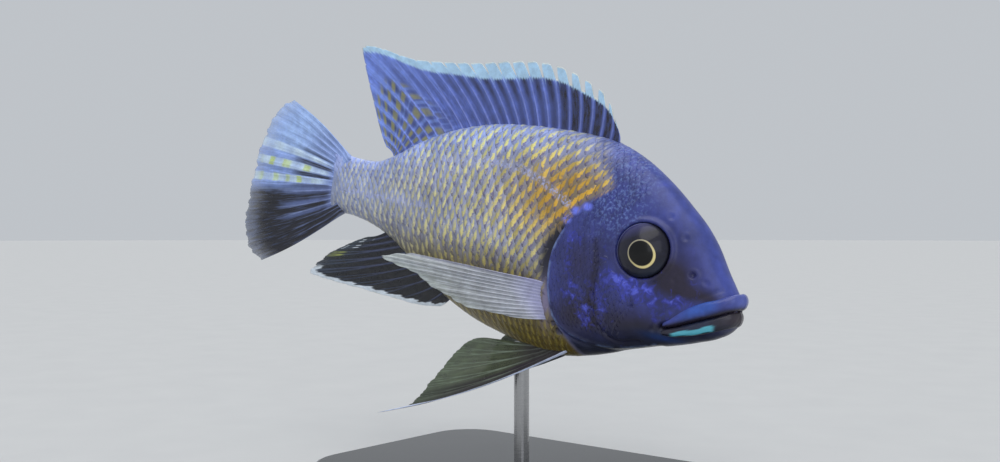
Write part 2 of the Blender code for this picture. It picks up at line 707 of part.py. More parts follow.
def make_fins(clearance):
    """Every fin with its material, each cut back to the skin that it grows from."""
    web = material("blue_fin_web", (0.18, 0.22, 0.48), 0.45)
    dark_web = material("black_fin_web", (0.04, 0.05, 0.08), 0.45)
    pale_web = material("pale_fin_web", (0.45, 0.46, 0.55), 0.45)
    dorsal = fin_plate("dorsal_fin", dorsal_root, dorsal_tip, dorsal_bow, DORSAL_RAYS, DORSAL_NOTCH)
    caudal = fin_plate("caudal_fin", in_plane(CAUDAL_ROOT), in_plane(CAUDAL_TIPS), caudal_bow, CAUDAL_RAYS,
                       CAUDAL_NOTCH, CAUDAL_ROOT_THICK)
    anal = fin_plate("anal_fin", anal_root, anal_tip, anal_bow, ANAL_RAYS, ANAL_NOTCH)
    fins = [(dorsal, web), (caudal, web), (anal, dark_web)]
    for side, word in ((-1, "right"), (1, "left")):
        fin = fin_plate(f"pectoral_fin_{word}", *pectoral(side), PECTORAL_RAYS, PECTORAL_NOTCH)
        fins.append((fin, pale_web))
        fin = fin_plate(f"pelvic_fin_{word}", *pelvic(side), PELVIC_RAYS, PELVIC_NOTCH)
        fins.append((fin, dark_web))
    for fin, _ in fins:
        combine(fin, "DIFFERENCE", clearance)
    return fins


def make_stand(belly_cutter):
    """A flat base with rounded corners, and one rod up to the belly."""
    length, width, height = BASE_SIZE
    mesh = bmesh.new()
    bmesh.ops.create_cube(mesh, size=1.0)
    bmesh.ops.transform(mesh, matrix=Matrix.Diagonal((length, width, height, 1.0)), verts=mesh.verts)
    bmesh.ops.translate(mesh, vec=(0, 0, height / 2), verts=mesh.verts)
    corners = [e for e in mesh.edges if abs(e.verts[0].co.z - e.verts[1].co.z) > height / 2]
    bevel = {"profile": 0.5, "affect": "EDGES", "material": -1}
    bmesh.ops.bevel(mesh, geom=corners, offset=BASE_CORNER, segments=6, **bevel)
    rim = [e for e in mesh.edges if min(v.co.z for v in e.verts) > height * 0.99]
    bmesh.ops.bevel(mesh, geom=rim, offset=BASE_EDGE, segments=2, **bevel)
    base = new_object("stand_base", mesh)
    rod_x = (MIDDLE - ROD_AT) * BODY_LENGTH
    foot, top = height + GAP, AXIS_HEIGHT
    mesh = bmesh.new()
    bmesh.ops.create_cone(mesh, segments=20, radius1=ROD_RADIUS, radius2=ROD_RADIUS, depth=top - foot,
                          cap_ends=True)
    bmesh.ops.translate(mesh, vec=(rod_x, 0, (top + foot) / 2), verts=mesh.verts)
    rod = new_object("stand_rod", mesh)
    combine(rod, "DIFFERENCE", belly_cutter)
    return base, rod


def main():
    for thing in list(bpy.data.objects):
        bpy.data.objects.remove(thing)

    pose = bpy.data.objects.new("swimming_pose", None)
    pose.location = (0.0, 0.0, AXIS_HEIGHT)
    pose.rotation_euler = (0.0, math.radians(NOSE_DOWN), 0.0)
    bpy.context.scene.collection.objects.link(pose)

    skin = material("blue_head_skin", (0.17, 0.18, 0.34), 0.40)
    gold = material("gold_flank", (0.42, 0.33, 0.12), 0.42)
    gill_front = shifted(gill_line(), -GAP / 2)
    head, jaw = make_head_and_jaw(gill_front)
    covers = make_gill_covers(head, gill_front)
    eyes = make_eyes_and_nostrils(head)
    lips = make_lips(head, jaw)
    flanks = make_torso_and_stalk()
    tail_end = 1.0 + GAP / BODY_LENGTH
    clearance = body_length_of(CLEAR_RINGS + [tail_end], CLEAR_AROUND, "clearance", grow=CLEAR_GROW)
    as_helper(clearance)
    fins = make_fins(clearance)
    for thing in (head, jaw, *covers):
        finish(thing, skin, pose)
    for thing in flanks:
        finish(thing, gold, pose)
    for thing in lips:
        finish(thing, material("blue_lip", (0.10, 0.16, 0.48), 0.35), pose)
    for thing in eyes:
        finish(thing, material("dark_eye", (0.02, 0.02, 0.03), 0.10), pose)
    for thing, web in fins:
        finish(thing, web, pose, smooth_angle=60)

    # The rod is cut back to the belly as it lies in the pose
    clearance.parent = pose
    bpy.context.view_layer.update()
    base, rod = make_stand(clearance)
    finish(base, material("black_acrylic", (0.03, 0.03, 0.035), 0.35), None)
    finish(rod, material("steel_rod", (0.60, 0.60, 0.62), 0.30, 1.0), None)
    remove(clearance)


main()
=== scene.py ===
# %% [markdown]
# # A peacock cichlid, life size, on a display stand
# A museum shows a fish as a painted cast, held on a rod over a plain base. This script dresses the
# plain solids of that cast: a skin with a relief, scales, clear eyes, lips and rayed fins.
# It starts by loading the solids, which say where everything is and how large it is.

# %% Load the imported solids
import math

import bmesh
import bpy
import numpy as np
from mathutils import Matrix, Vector


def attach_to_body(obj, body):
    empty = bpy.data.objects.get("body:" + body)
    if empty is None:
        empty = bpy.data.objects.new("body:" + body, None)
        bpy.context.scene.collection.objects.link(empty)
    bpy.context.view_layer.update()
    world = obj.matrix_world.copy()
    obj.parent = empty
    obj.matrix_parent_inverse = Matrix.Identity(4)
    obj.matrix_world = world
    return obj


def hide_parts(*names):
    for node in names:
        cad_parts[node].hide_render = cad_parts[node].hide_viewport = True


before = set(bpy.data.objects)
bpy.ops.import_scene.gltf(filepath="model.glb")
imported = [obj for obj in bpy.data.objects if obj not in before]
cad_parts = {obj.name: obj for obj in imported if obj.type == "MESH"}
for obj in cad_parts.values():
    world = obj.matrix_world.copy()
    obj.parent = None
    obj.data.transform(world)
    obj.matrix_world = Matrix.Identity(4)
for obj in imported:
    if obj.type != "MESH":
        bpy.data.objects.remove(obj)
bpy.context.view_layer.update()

# %% [markdown]
# ## The camera
# The photo was taken level with the fish, from its right front, so the near head looks large and the
# tail runs away from us. Setting the camera first means that every later render can be held against
# the photo. The focal length is given in pixels of the photo, because that is what a fit to it gives.

# %% Set the camera where the photo was taken from
PHOTO_WIDTH = 1000  # pixels
FOCAL_LENGTH = 1050  # in the same pixels
CAMERA_AT = (0.12417, -0.16281, 0.0516)
CAMERA_TURN = 39.605  # degrees to the left of looking along +Y

camera = bpy.data.objects.new("camera", bpy.data.cameras.new("camera"))
camera.data.sensor_width = 36.0
camera.data.lens = camera.data.sensor_width * FOCAL_LENGTH / PHOTO_WIDTH
camera.data.clip_start = 0.005
camera.location = CAMERA_AT
camera.rotation_euler = (math.radians(90), 0, math.radians(CAMERA_TURN))
bpy.context.scene.collection.objects.link(camera)
bpy.context.scene.camera = camera
print("lens", round(camera.data.lens, 1), "mm")

# %% [markdown]
# ## The measures of the fish
# The fish is laid out straight first: u runs from the snout (0) to the tail base (1), y is the side
# and z the height, all as shares of the body length. A few points give each outline, and a smooth
# curve runs through them. These are the same measures that the solids were made from, so whatever
# is built on them meets the solids without any fitting.

# %% Name the measures
BODY_LENGTH = 0.100  # metres
NOSE_DOWN = 12.5  # degrees
TAIL_BEND = 8.0
BEND_START = 0.35
BEND_POWER = 1.3
MIDDLE = 0.45
AXIS_HEIGHT = 0.050
MM = 0.001
COAT = 0.20 * MM  # how deep the skin lies under the tips of the scales

BACK = [(0.010, -0.012), (0.024, 0.004), (0.048, 0.034), (0.080, 0.078), (0.100, 0.099), (0.141, 0.131),
        (0.188, 0.163), (0.261, 0.200), (0.312, 0.215), (0.380, 0.220), (0.443, 0.219), (0.529, 0.214),
        (0.618, 0.201), (0.725, 0.168), (0.796, 0.134), (0.850, 0.100), (0.900, 0.075), (0.950, 0.070),
        (1.000, 0.072)]
BELLY = [(0.010, -0.054), (0.020, -0.068), (0.040, -0.084), (0.074, -0.101), (0.165, -0.138), (0.228, -0.164),
         (0.286, -0.188), (0.342, -0.205), (0.407, -0.211), (0.484, -0.207), (0.590, -0.192), (0.644, -0.176),
         (0.728, -0.138), (0.830, -0.086), (0.900, -0.066), (0.960, -0.060), (1.000, -0.062)]
HALF_WIDTH = [(0.010, 0.017), (0.024, 0.030), (0.060, 0.043), (0.100, 0.053), (0.150, 0.065), (0.200, 0.073),
              (0.270, 0.082), (0.350, 0.088), (0.450, 0.087), (0.550, 0.079), (0.650, 0.065), (0.750, 0.049),
              (0.850, 0.034), (0.930, 0.025), (1.000, 0.018)]
WIDEST_AT = [(0.010, -0.034), (0.100, -0.050), (0.200, -0.040), (0.350, -0.020), (0.500, 0.000),
             (1.000, 0.004)]
TOP_ROUNDNESS = [(0.000, 2.2), (0.200, 2.0), (0.400, 1.8), (0.800, 1.8), (1.000, 2.2)]
BELLY_ROUNDNESS = 2.1
SIDE_ROUNDNESS = 2.15

# %% Turn lists of points into smooth curves


def curve(points):
    """A smooth line through points, as a function of the first number of each."""
    rows = np.array(points, float)
    x, y = rows[:, 0], rows[:, 1:]
    step = np.diff(x)[:, None]
    rise = np.diff(y, axis=0) / step
    inner = (rise[1:] * step[:-1] + rise[:-1] * step[1:]) / (step[1:] + step[:-1])
    slope = np.concatenate([rise[:1], inner, rise[-1:]])

    def at(value):
        value = np.asarray(value, float)
        i = np.clip(np.searchsorted(x, value) - 1, 0, len(x) - 2)
        h = (x[i + 1] - x[i])[..., None]
        t = np.clip((value - x[i])[..., None] / h, 0.0, 1.0)
        a, b = 2 * t**3 - 3 * t**2 + 1, t**3 - 2 * t**2 + t
        c, d = 3 * t**2 - 2 * t**3, t**3 - t**2
        found = a * y[i] + b * h * slope[i] + c * y[i + 1] + d * h * slope[i + 1]
        return found[..., 0] if found.shape[-1] == 1 else found

    return at


def trace(points):
    """The same through points in a plane or in space, as a function of the share of the way along."""
    spans = [math.dist(a, b) for a, b in zip(points, points[1:])]
    along = np.concatenate([[0], np.cumsum(spans)]) / sum(spans)
    return curve([(s, *p) for s, p in zip(along, points)])


def numbered(points):
    """The same, but each point counts for one step, whatever its distance."""
    return curve([(n / (len(points) - 1), *p) for n, p in enumerate(points)])


def ease(value, low, high):
    """0 below low and 1 above high, with a soft change between them."""
    t = np.clip((np.asarray(value, float) - low) / (high - low), 0.0, 1.0)
    return t * t * (3 - 2 * t)


def window(value, low, high, soft):
    """1 between low and high, with soft ends."""
    return ease(value, low - soft, low + soft) * (1 - ease(value, high - soft, high + soft))


def bell(value, width, power=2):
    """1 at 0, falling away softly on both sides. A higher power gives it a flatter top."""
    return np.exp(-((value / width) ** power))


def limited(value):
    """The value, held between 0 and 1."""
    return np.clip(value, 0, 1)


def joined(*parts):
    """Rows of one number from each part, such as u, y and z."""
    return np.stack(np.broadcast_arrays(*parts), axis=-1)


def unit(vectors):
    """Vectors of length 1 in the same directions."""
    return vectors / (np.linalg.norm(vectors, axis=-1, keepdims=True) + 1e-12)


back, belly = curve(BACK), curve(BELLY)
half_width, widest_at = curve(HALF_WIDTH), curve(WIDEST_AT)
top_roundness = curve(TOP_ROUNDNESS)
print("deepest body", round(float((back(0.40) - belly(0.40)) * BODY_LENGTH / MM), 1), "mm")

# %% [markdown]
# ## From the straight fish to the pose
# Every piece is worked out on the straight fish and then passed through one function, place. It
# bends the tail to the fish's right and tips the nose down. Because skin, scales and fins all pass
# through it, they stay joined. The bend is a running sum of small steps along the spine.

# %% Bend and tip the fish
spine = np.linspace(BEND_START, 1.5, 1151)
spine_turn = math.radians(TAIL_BEND) * ((spine - BEND_START) / (1 - BEND_START)) ** BEND_POWER
spine_step = np.diff(spine)
spine_middle = (spine_turn[1:] + spine_turn[:-1]) / 2
spine_x = np.concatenate([[0], np.cumsum(np.cos(spine_middle) * spine_step)])
spine_y = np.concatenate([[0], np.cumsum(np.sin(spine_middle) * spine_step)])
tip_cos, tip_sin = math.cos(math.radians(NOSE_DOWN)), math.sin(math.radians(NOSE_DOWN))


def tipped(p):
    """Directions or places of the level fish, as on the fish with its nose down."""
    x, y, z = np.moveaxis(np.asarray(p, float), -1, 0)
    return joined(x * tip_cos + z * tip_sin, y, z * tip_cos - x * tip_sin)


def place(u, y, z):
    """Points of the straight fish, in shares, to metres in the pose."""
    u, y, z = np.broadcast_arrays(np.asarray(u, float), y, z)
    bent = np.maximum(u, BEND_START)
    turn = np.interp(bent, spine, spine_turn)
    x_at = MIDDLE - np.minimum(u, BEND_START) - np.interp(bent, spine, spine_x) - y * np.sin(turn)
    y_at = y * np.cos(turn) - np.interp(bent, spine, spine_y)
    return tipped(joined(x_at, y_at, z) * BODY_LENGTH) + np.array([0, 0, AXIS_HEIGHT])


def section(u, angle, grow=0.0):
    """Side and height of the body's surface at u. Angle 0 is the left side, 90 degrees the back."""
    middle = widest_at(u)
    side, rise = np.cos(angle), np.sin(angle)
    height = np.where(rise > 0, back(u) - middle, middle - belly(u)) + grow
    roundness = np.where(rise > 0, top_roundness(u), BELLY_ROUNDNESS)
    y = (half_width(u) + grow) * np.sign(side) * np.abs(side) ** (2 / SIDE_ROUNDNESS)
    z = middle + height * np.sign(rise) * np.abs(rise) ** (2 / roundness)
    return y, z


def flank(u, z):
    """Half of the body's width at u and height z."""
    middle = widest_at(u)
    height = np.where(z > middle, back(u) - middle, middle - belly(u))
    roundness = np.where(z > middle, top_roundness(u), BELLY_ROUNDNESS)
    share = np.minimum(np.abs(z - middle) / height, 1.0)
    return half_width(u) * (1 - share**roundness) ** (1 / SIDE_ROUNDNESS)


def surface(u, angle):
    """Places on the smooth body, as deep as the skin lies, and the directions that point out of it."""
    step, turn = 0.0015, 0.0060

    def skin_at(u, angle):
        return place(u, *section(u, angle, -COAT / BODY_LENGTH))

    along = skin_at(u + step, angle) - skin_at(u - step, angle)
    round_it = skin_at(u, angle + turn) - skin_at(u, angle - turn)
    return skin_at(u, angle), unit(np.cross(along, round_it))


test_at, test_out = surface(np.array([0.3]), np.array([0.0]))
print("left side at", (test_at[0] / MM).round(1), "mm, facing", test_out[0].round(2))

# %% [markdown]
# ## Landmarks on the head and flank
# The lines below are what a fish painter draws first: the rear edge of the gill cover, the edge
# that runs on under the throat, the preopercle in front of it, the mouth, and the lateral line,
# which in cichlids is broken in two. They are lists of a few points in the side view.

# %% Name the landmarks
GILL_LINE = [(0.285, 0.320), (0.300, 0.190), (0.322, 0.100), (0.345, 0.045), (0.357, 0.010), (0.360, -0.040),
             (0.352, -0.090), (0.333, -0.135), (0.300, -0.172), (0.290, -0.215), (0.285, -0.320)]
GILL_TOP, GILL_FOOT = 0.052, -0.150  # where the cover's free edge starts and ends
THROAT_LINE = [(0.340, -0.120), (0.318, -0.140), (0.290, -0.150), (0.262, -0.153), (0.232, -0.152),
               (0.190, -0.140), (0.143, -0.121)]
COVER_TOP_LINE = [(0.345, 0.045), (0.318, 0.058), (0.286, 0.044), (0.270, 0.020)]
PREOPERCLE_LINE = [(0.272, 0.040), (0.262, 0.000), (0.258, -0.067), (0.250, -0.108), (0.219, -0.134),
                   (0.170, -0.124)]
MOUTH_LINE = [(0.000, -0.029), (0.010, -0.030), (0.028, -0.037), (0.050, -0.050), (0.075, -0.062),
              (0.131, -0.087)]
LIP_FOLD = [(0.040, 0.006), (0.065, -0.012), (0.100, -0.036), (0.130, -0.062), (0.142, -0.092)]
UPPER_LATERAL_LINE = [(0.350, 0.092), (0.454, 0.129), (0.602, 0.128), (0.692, 0.113)]
REAR_LATERAL_LINE = [(0.715, 0.012), (0.794, 0.006), (0.900, -0.001), (0.985, -0.005)]
EYE_AT = (0.184, 0.041)
EYE_RADIUS = 5.2 * MM
EYE_BULGE = 3.4 * MM
EYE_SUNK = 1.7 * MM
EYE_LOOKS = (0.20, 1.0, 0.13)  # forward, outward, up
NOSTRIL_AT = (0.090, 0.020)
PORES = [(0.148, -0.010), (0.140, -0.030), (0.158, -0.048), (0.182, -0.060), (0.206, -0.058), (0.118, 0.004),
         (0.066, 0.012), (0.120, 0.078), (0.155, 0.108)]
SIDES = ((-1, "right"), (1, "left"))
LINE_SAMPLES = 80  # points of a line that a distance is measured to

gill_at = curve([(-z, u) for u, z in GILL_LINE])
mouth_at = curve(MOUTH_LINE)


def gill_u(z):
    """Where the line behind the gill cover runs at a height."""
    return gill_at(-np.asarray(z, float))


def beside(u, z, line):
    """The distance to a line in the side view, in shares."""
    nearest = np.inf
    for point_u, point_z in trace(line)(np.linspace(0, 1, LINE_SAMPLES)):
        nearest = np.minimum(nearest, (u - point_u) ** 2 + (z - point_z) ** 2)
    return np.sqrt(nearest)


def shifted(line, along, up):
    """The same line a little further back and up."""
    return [(u + along, z + up) for u, z in line]


def blob(u, z, at, wide, tall):
    """A soft round patch in the side view, 1 at its middle."""
    return bell(u - at[0], wide) * bell(z - at[1], tall)


def eye_axis(side):
    """The middle of an eye and the direction it looks in. The fish's right side is -1."""
    forward, outward, up = EYE_LOOKS
    looks = unit(tipped([forward, outward * side, up]))
    u, z = EYE_AT
    return place(u, side * flank(u, z), z) - looks * EYE_SUNK, looks


print("right eye at", (eye_axis(-1)[0] / MM).round(1), "mm")

# %% [markdown]
# ## Where the colours lie
# A male peacock cichlid is deep violet blue on the head and gold on the shoulder, greyer behind.
# Skin and scales have to carry the same markings, so one function gives the strength of each
# marking at any place on the side. Each is stored on a mesh as an attribute, and a material mixes
# its colours by them. Fine pattern, such as the blue spots' outlines, is added by the material.

# %% Work out the markings
GOLD_FRONT = [(-0.250, 0.270), (-0.170, 0.300), (-0.130, 0.338), (-0.100, 0.352), (-0.040, 0.372),
              (0.010, 0.370), (0.050, 0.348), (0.100, 0.312), (0.143, 0.272), (0.165, 0.292),
              (0.195, 0.322), (0.230, 0.345)]
# Soft patches, each as its strength, u, z, width and height.
# The next patches darken the face: painted shade round the eye, along the preopercle, under the lip fold and
# low on the head, over the face's own dusky colour.
DARK_FACE_AND_SHADE = [(1.0, 0.120, 0.010, 0.040, 0.036), (0.9, 0.190, -0.100, 0.080, 0.038),
        (0.7, 0.300, -0.010, 0.035, 0.055), (0.9, 0.062, -0.012, 0.060, 0.014),
        (0.8, 0.300, -0.110, 0.045, 0.040), (0.5, 0.184, 0.041, 0.070, 0.070),
        (0.5, 0.100, -0.090, 0.060, 0.020), (0.6, 0.262, -0.060, 0.012, 0.080)]
BLUE_SPOTS = [(1.0, 0.205, -0.022, 0.034, 0.020), (1.0, 0.166, -0.032, 0.034, 0.020),
              (1.0, 0.104, -0.032, 0.020, 0.014), (0.9, 0.064, -0.036, 0.016, 0.007),
              (0.9, 0.322, 0.032, 0.018, 0.018), (0.8, 0.322, -0.008, 0.016, 0.022),
              (0.8, 0.308, -0.062, 0.022, 0.024), (1.0, 0.275, -0.102, 0.016, 0.024),
              (0.7, 0.250, -0.050, 0.030, 0.060), (0.6, 0.130, -0.060, 0.030, 0.020)]
NAPE_FLECKS = [(1.5, 0.262, 0.150, 0.052, 0.050), (1.2, 0.290, 0.195, 0.050, 0.030),
               (0.8, 0.250, 0.090, 0.045, 0.040)]
SHOULDER_SPOTS = [(1.8, 0.343, 0.062, 0.0105, 0.0075), (1.8, 0.330, 0.082, 0.0105, 0.0075),
                  (1.8, 0.308, 0.094, 0.0105, 0.0075)]
gold_front = curve(GOLD_FRONT)


def summed(u, z, patches):
    """Several soft patches together."""
    return sum(strength * blob(u, z, at, wide, tall) for strength, *at, wide, tall in patches)


def markings(u, z):
    """The strength of each marking, from 0 to 1, at places in the side view."""
    behind = u - gill_u(z)
    soft = 0.014 + 0.045 * ease(z, 0.150, 0.200)
    head = 1 - ease(u - gold_front(z), 0.006 - soft, soft)
    from_back = back(u) - z
    shoulder = blob(u, z, (0.35, 0.10), 0.14, 0.085)
    pale_nape = blob(u, z, (0.310, 0.200), 0.085, 0.032)
    # Near black just behind the gill opening: painted shade where the gill cover overhangs the flank.
    patch = limited(1.5 * ease(behind, -0.001, 0.002) * bell(behind, 0.027) * bell(z + 0.006, 0.066, 4))
    lateral = np.minimum(beside(u, z, UPPER_LATERAL_LINE), beside(u, z, REAR_LATERAL_LINE))
    lateral = ease(0.0080 - lateral, 0, 0.003)
    fin_base = ease(behind, 0.0, 0.002) * blob(u, z, (0.362, -0.098), 0.013, 0.042)
    gold = 0.88 + 0.30 * shoulder - 0.22 * ease(u, 0.62, 0.95) - 0.40 * pale_nape
    gold = limited(gold - 0.30 * ease(from_back, 0.022, 0.0)) * (1 - ease(u, 0.985, 1.015))
    gold = gold * (1 - np.maximum(0.85 * patch, fin_base)) * (1 - 0.6 * lateral * (1 - ease(u, 0.45, 0.60)))
    lilac = ease(from_back, 0.085, 0.0) * 0.9 + 0.35 * ease(z, 0.02, 0.16) + 0.6 * pale_nape
    # A dark line just behind the preopercle's crease: painted shade in that fold.
    cheek_edge = beside(u, z, shifted(PREOPERCLE_LINE, 0.003, -0.002))
    on_edge = ease(z, GILL_FOOT, GILL_FOOT + 0.02) * (1 - ease(z, GILL_TOP - 0.02, GILL_TOP))
    rim = on_edge * ease(0.0040 - np.abs(behind + 0.0020), 0, 0.0025)
    rim = rim + 0.8 * ease(0.0030 - beside(u, z, THROAT_LINE), 0, 0.0025)
    return {
        "head": head, "patch": patch, "lateral": lateral, "fin_base": fin_base, "gold": (1 - head) * gold,
        "warm": limited(shoulder * 1.2 + 0.30 * ease(-z, 0.00, 0.10) * (1 - ease(u, 0.45, 0.75))),
        "olive": (1 - head) * ease(-z, -0.005, 0.105) * (1 - 0.45 * ease(u, 0.66, 0.95)),
        "rear": ease(u, 0.58, 0.98), "lilac": limited(lilac),
        # The brow is lighter towards the top outline: partly its own colour, partly a painted highlight of
        # the light from above.
        "brow_and_highlight": head * limited(ease(from_back, 0.050, -0.004) + 0.30 * ease(z, 0.03, 0.15)),
        "dark_face_and_shade": limited(head * summed(u, z, DARK_FACE_AND_SHADE)), "spots": limited(head * summed(u, z, BLUE_SPOTS)),
        "flecks": head * limited(summed(u, z, NAPE_FLECKS)),
        "shine": limited(summed(u, z, SHOULDER_SPOTS) - 0.35),
        "under": head * ease(-z - 0.045 - 0.35 * (u - 0.10), 0.0, 0.065),
        "fold": head * ease(0.0080 - cheek_edge, 0, 0.006), "rim": limited(rim) * (behind < 0.0006),
        # The gape is dark along the mouth's line: painted shade in the slot between the lips.
        "mouth": ease(0.0075 - np.abs(z - mouth_at(u)), 0, 0.003) * (1 - ease(u, 0.118, 0.132)),
        "chin": blob(u, z, (0.125, -0.104), 0.035, 0.008)}


def attach(mesh, marks):
    """Stores markings on a mesh, one number a point."""
    for name, values in marks.items():
        attribute = mesh.attributes.new(name, "FLOAT", "POINT")
        attribute.data.foreach_set("value", np.ascontiguousarray(values, dtype=np.float32))


print(len(markings(np.array([0.3]), np.array([0.0]))), "markings")

# %% [markdown]
# ## The skin's relief
# A fish's head is full of low steps and folds: the raised rim round the eye, the lower flank behind
# the gill cover, the edge of the preopercle, a row of pores, the nostrils. Sculpting them by hand
# would be lost when a measure changes, so each is a short formula that lifts or sinks the skin.

# %% Raise and sink the skin
# Folds and edges along a line, each as its height in millimetres, its width in shares and the line.
CREASES = [(-0.26, 0.0045, PREOPERCLE_LINE), (-0.10, 0.0035, COVER_TOP_LINE), (0.16, 0.0040, THROAT_LINE),
           (-0.22, 0.0050, shifted(THROAT_LINE, -0.004, -0.0075)), (-0.22, 0.0040, LIP_FOLD)]


def relief(u, z):
    """How far the skin stands out of the smooth body, in metres."""
    behind = u - gill_u(z)
    on_cover = ease(z, GILL_FOOT - 0.03, GILL_FOOT + 0.02) * (1 - ease(z, GILL_TOP - 0.02, GILL_TOP + 0.04))
    step = ease(behind, -0.0002, 0.0008)
    lift = -0.62 * on_cover * step * bell(np.maximum(behind, 0), 0.030)
    lift = lift + 0.10 * on_cover * (1 - step) * bell(behind, 0.010)
    for height, width, line in CREASES:
        lift = lift + height * bell(beside(u, z, line), width)
    for pore_u, pore_z in PORES:
        far = np.hypot(u - pore_u, z - pore_z)
        lift = lift - 0.17 * bell(far, 0.0042) + 0.05 * bell(far - 0.0075, 0.0030)
    nostril = np.hypot(u - NOSTRIL_AT[0], z - NOSTRIL_AT[1])
    lift = lift - 0.50 * bell(nostril, 0.0052, 4) + 0.15 * bell(nostril - 0.0085, 0.0030)
    lift = lift - 2.4 * bell(z - mouth_at(u), 0.0065) * (1 - ease(u, 0.115, 0.135))
    return lift * MM


def socket(points, eye_middle, looks):
    """Sinks the skin under an eyeball and raises a rim round it."""
    offset = points - eye_middle
    along = offset @ looks
    far = np.linalg.norm(offset - along[..., None] * looks, axis=-1) / MM
    sink = -2.3 * (1 - ease(far, 4.35, 5.05))
    rim = 0.34 * bell(far - 5.35, 0.34) - 0.12 * bell(far - 6.3, 0.45)
    on_this_side = along > -4 * MM
    return points + ((sink + rim) * on_this_side * MM)[..., None] * looks


print("step behind the gill cover", round(float(relief(0.3615, -0.04) / MM), 2), "mm")

# %% [markdown]
# ## The skin
# One sheet makes the whole body, so there is no seam between head, gill covers, flank and tail.
# It starts as a flat grid. Its columns become rings round the fish, crowded together at the gill
# line so that the step there is crisp, and the first few rings turn in to line the mouth. Wrapping
# a grid keeps the faces even, which a sculpted or unioned mesh would not.

# %% Give functions that make an object and wrap a grid


def linked(name, data):
    """Puts a mesh in the scene as an object at the origin, shaded smooth."""
    made = bpy.data.objects.new(name, data)
    bpy.context.scene.collection.objects.link(made)
    data.shade_smooth()
    return made


def put_uv(data, name, pairs):
    """Stores a UV map from one pair of numbers a point."""
    corner = np.zeros(len(data.loops), dtype=np.int32)
    data.loops.foreach_get("vertex_index", corner)
    layer = data.uv_layers.new(name=name)
    layer.data.foreach_set("uv", np.ascontiguousarray(pairs[corner], dtype=np.float32).ravel())


def made_by(operator, name, **settings):
    """A mesh from one of bmesh's operators, and its points as rows."""
    mesh = bmesh.new()
    operator(mesh, **settings)
    data = bpy.data.meshes.new(name)
    mesh.to_mesh(data)
    mesh.free()
    points = np.zeros(len(data.vertices) * 3)
    data.vertices.foreach_get("co", points)
    return data, points.reshape(-1, 3)


def wrapped_grid(name, columns, rows, shape, merge=2e-6):
    """A closed object from a flat grid. shape turns shares across and up into places, markings
    and the UV map of the web, if any. Points nearer to each other than merge become one."""
    data, flat = made_by(bmesh.ops.create_grid, name, x_segments=columns, y_segments=rows, size=0.5)
    across, up, _ = np.round((flat - flat.min(0)) / np.maximum(np.ptp(flat, axis=0), 1e-9), 6).T
    places, marks, web = shape(across, up)
    data.vertices.foreach_set("co", places.ravel())
    attach(data, marks)
    if web is not None:
        put_uv(data, "web", web)
    mesh = bmesh.new()
    mesh.from_mesh(data)
    bmesh.ops.remove_doubles(mesh, verts=mesh.verts, dist=merge)
    open_edges = [e for e in mesh.edges if e.is_boundary]
    if open_edges:
        bmesh.ops.holes_fill(mesh, edges=open_edges, sides=0)
    bmesh.ops.recalc_face_normals(mesh, faces=mesh.faces)
    mesh.to_mesh(data)
    mesh.free()
    return linked(name, data)


# %% Wrap the skin
MOUTH_COLUMNS = 12
HEAD_COLUMNS = 150
FLANK_COLUMNS = 136
TAIL_COLUMNS = 8
AROUND = 288
HEAD_CROWDING, FLANK_CROWDING = 1.30, 1.25
SNOUT = 0.010
TAIL_CAP = 0.022  # how far the flesh reaches out over the tail fin's base
skin_columns = MOUTH_COLUMNS + HEAD_COLUMNS + FLANK_COLUMNS + TAIL_COLUMNS


def ring_of_gill(angle):
    """Where a line along the body at an angle crosses the gill line."""
    u = np.full(angle.shape, 0.33)
    for _ in range(12):
        u = 0.5 * u + 0.5 * gill_u(section(u, angle)[1])
    return u


def skin_layout(across, up):
    """Shares across the grid to u, angle, how far inside the mouth, and how far on the tail's cap."""
    angle = -math.pi / 2 + 2 * math.pi * up
    column = across * skin_columns
    gill = ring_of_gill(angle)
    inside = limited(1 - column / MOUTH_COLUMNS)
    to_gill = limited((MOUTH_COLUMNS + HEAD_COLUMNS - column) / HEAD_COLUMNS)
    past_gill = limited((column - MOUTH_COLUMNS - HEAD_COLUMNS) / FLANK_COLUMNS)
    cap = limited((column - skin_columns + TAIL_COLUMNS) / TAIL_COLUMNS)
    u = gill - (gill - SNOUT) * to_gill**HEAD_CROWDING + (1 - gill) * past_gill**FLANK_CROWDING
    return u, angle, inside, cap


def skin_shape(across, up):
    """Places and markings of the skin's points."""
    u, angle, inside, cap = skin_layout(across, up)
    at, out = surface(u, angle)
    z_side = section(u, angle)[1]
    at = at + out * (relief(u, z_side) * (1 - inside) * (1 - cap))[:, None]
    for side, _ in SIDES:
        at = socket(at, *eye_axis(side))
    y, z = section(u, angle, -COAT / BODY_LENGTH)
    slot = mouth_at(u)
    throat = place(u + 0.050 * inside, y * (1 - 0.35 * inside), slot + (z - slot) * (1 - 0.88 * inside**0.5))
    at = np.where((inside > 0)[:, None], throat, at)
    tail_u = u + TAIL_CAP * np.sin(cap * math.pi / 2)
    tail_end = place(tail_u, y * np.cos(cap * math.pi / 2) ** 0.8, z * (1 - 0.05 * cap))
    at = np.where((cap > 0)[:, None], tail_end, at)
    marks = markings(tail_u, z_side)
    # Inside the mouth, the lining gets the same painted shade.
    marks["mouth"] = np.maximum(marks["mouth"], inside > 0)
    return at, marks, None


skin = wrapped_grid("body_skin", skin_columns, AROUND, skin_shape)
print("skin", len(skin.data.vertices), "points")

# %% [markdown]
# ## The scales
# Scales lie like roof tiles: each is rooted under the one in front of it and shows about half of
# its length, and each row is shifted by half a scale. They could be a bump pattern, but then the
# outline and the shadows between rows would be missing. So every scale is a thin closed leaf of a
# few dozen faces. Its points are laid out on the body's own surface, so each leaf hugs the flank.

# %% Find a point of the side from its distance along the body and its distance round it
TABLE_U = np.linspace(0.02, 1.05, 207)
TABLE_ANGLE = np.linspace(-math.pi / 2, math.pi / 2, 241)
TABLE_SHARE = np.linspace(-1, 1, 161)

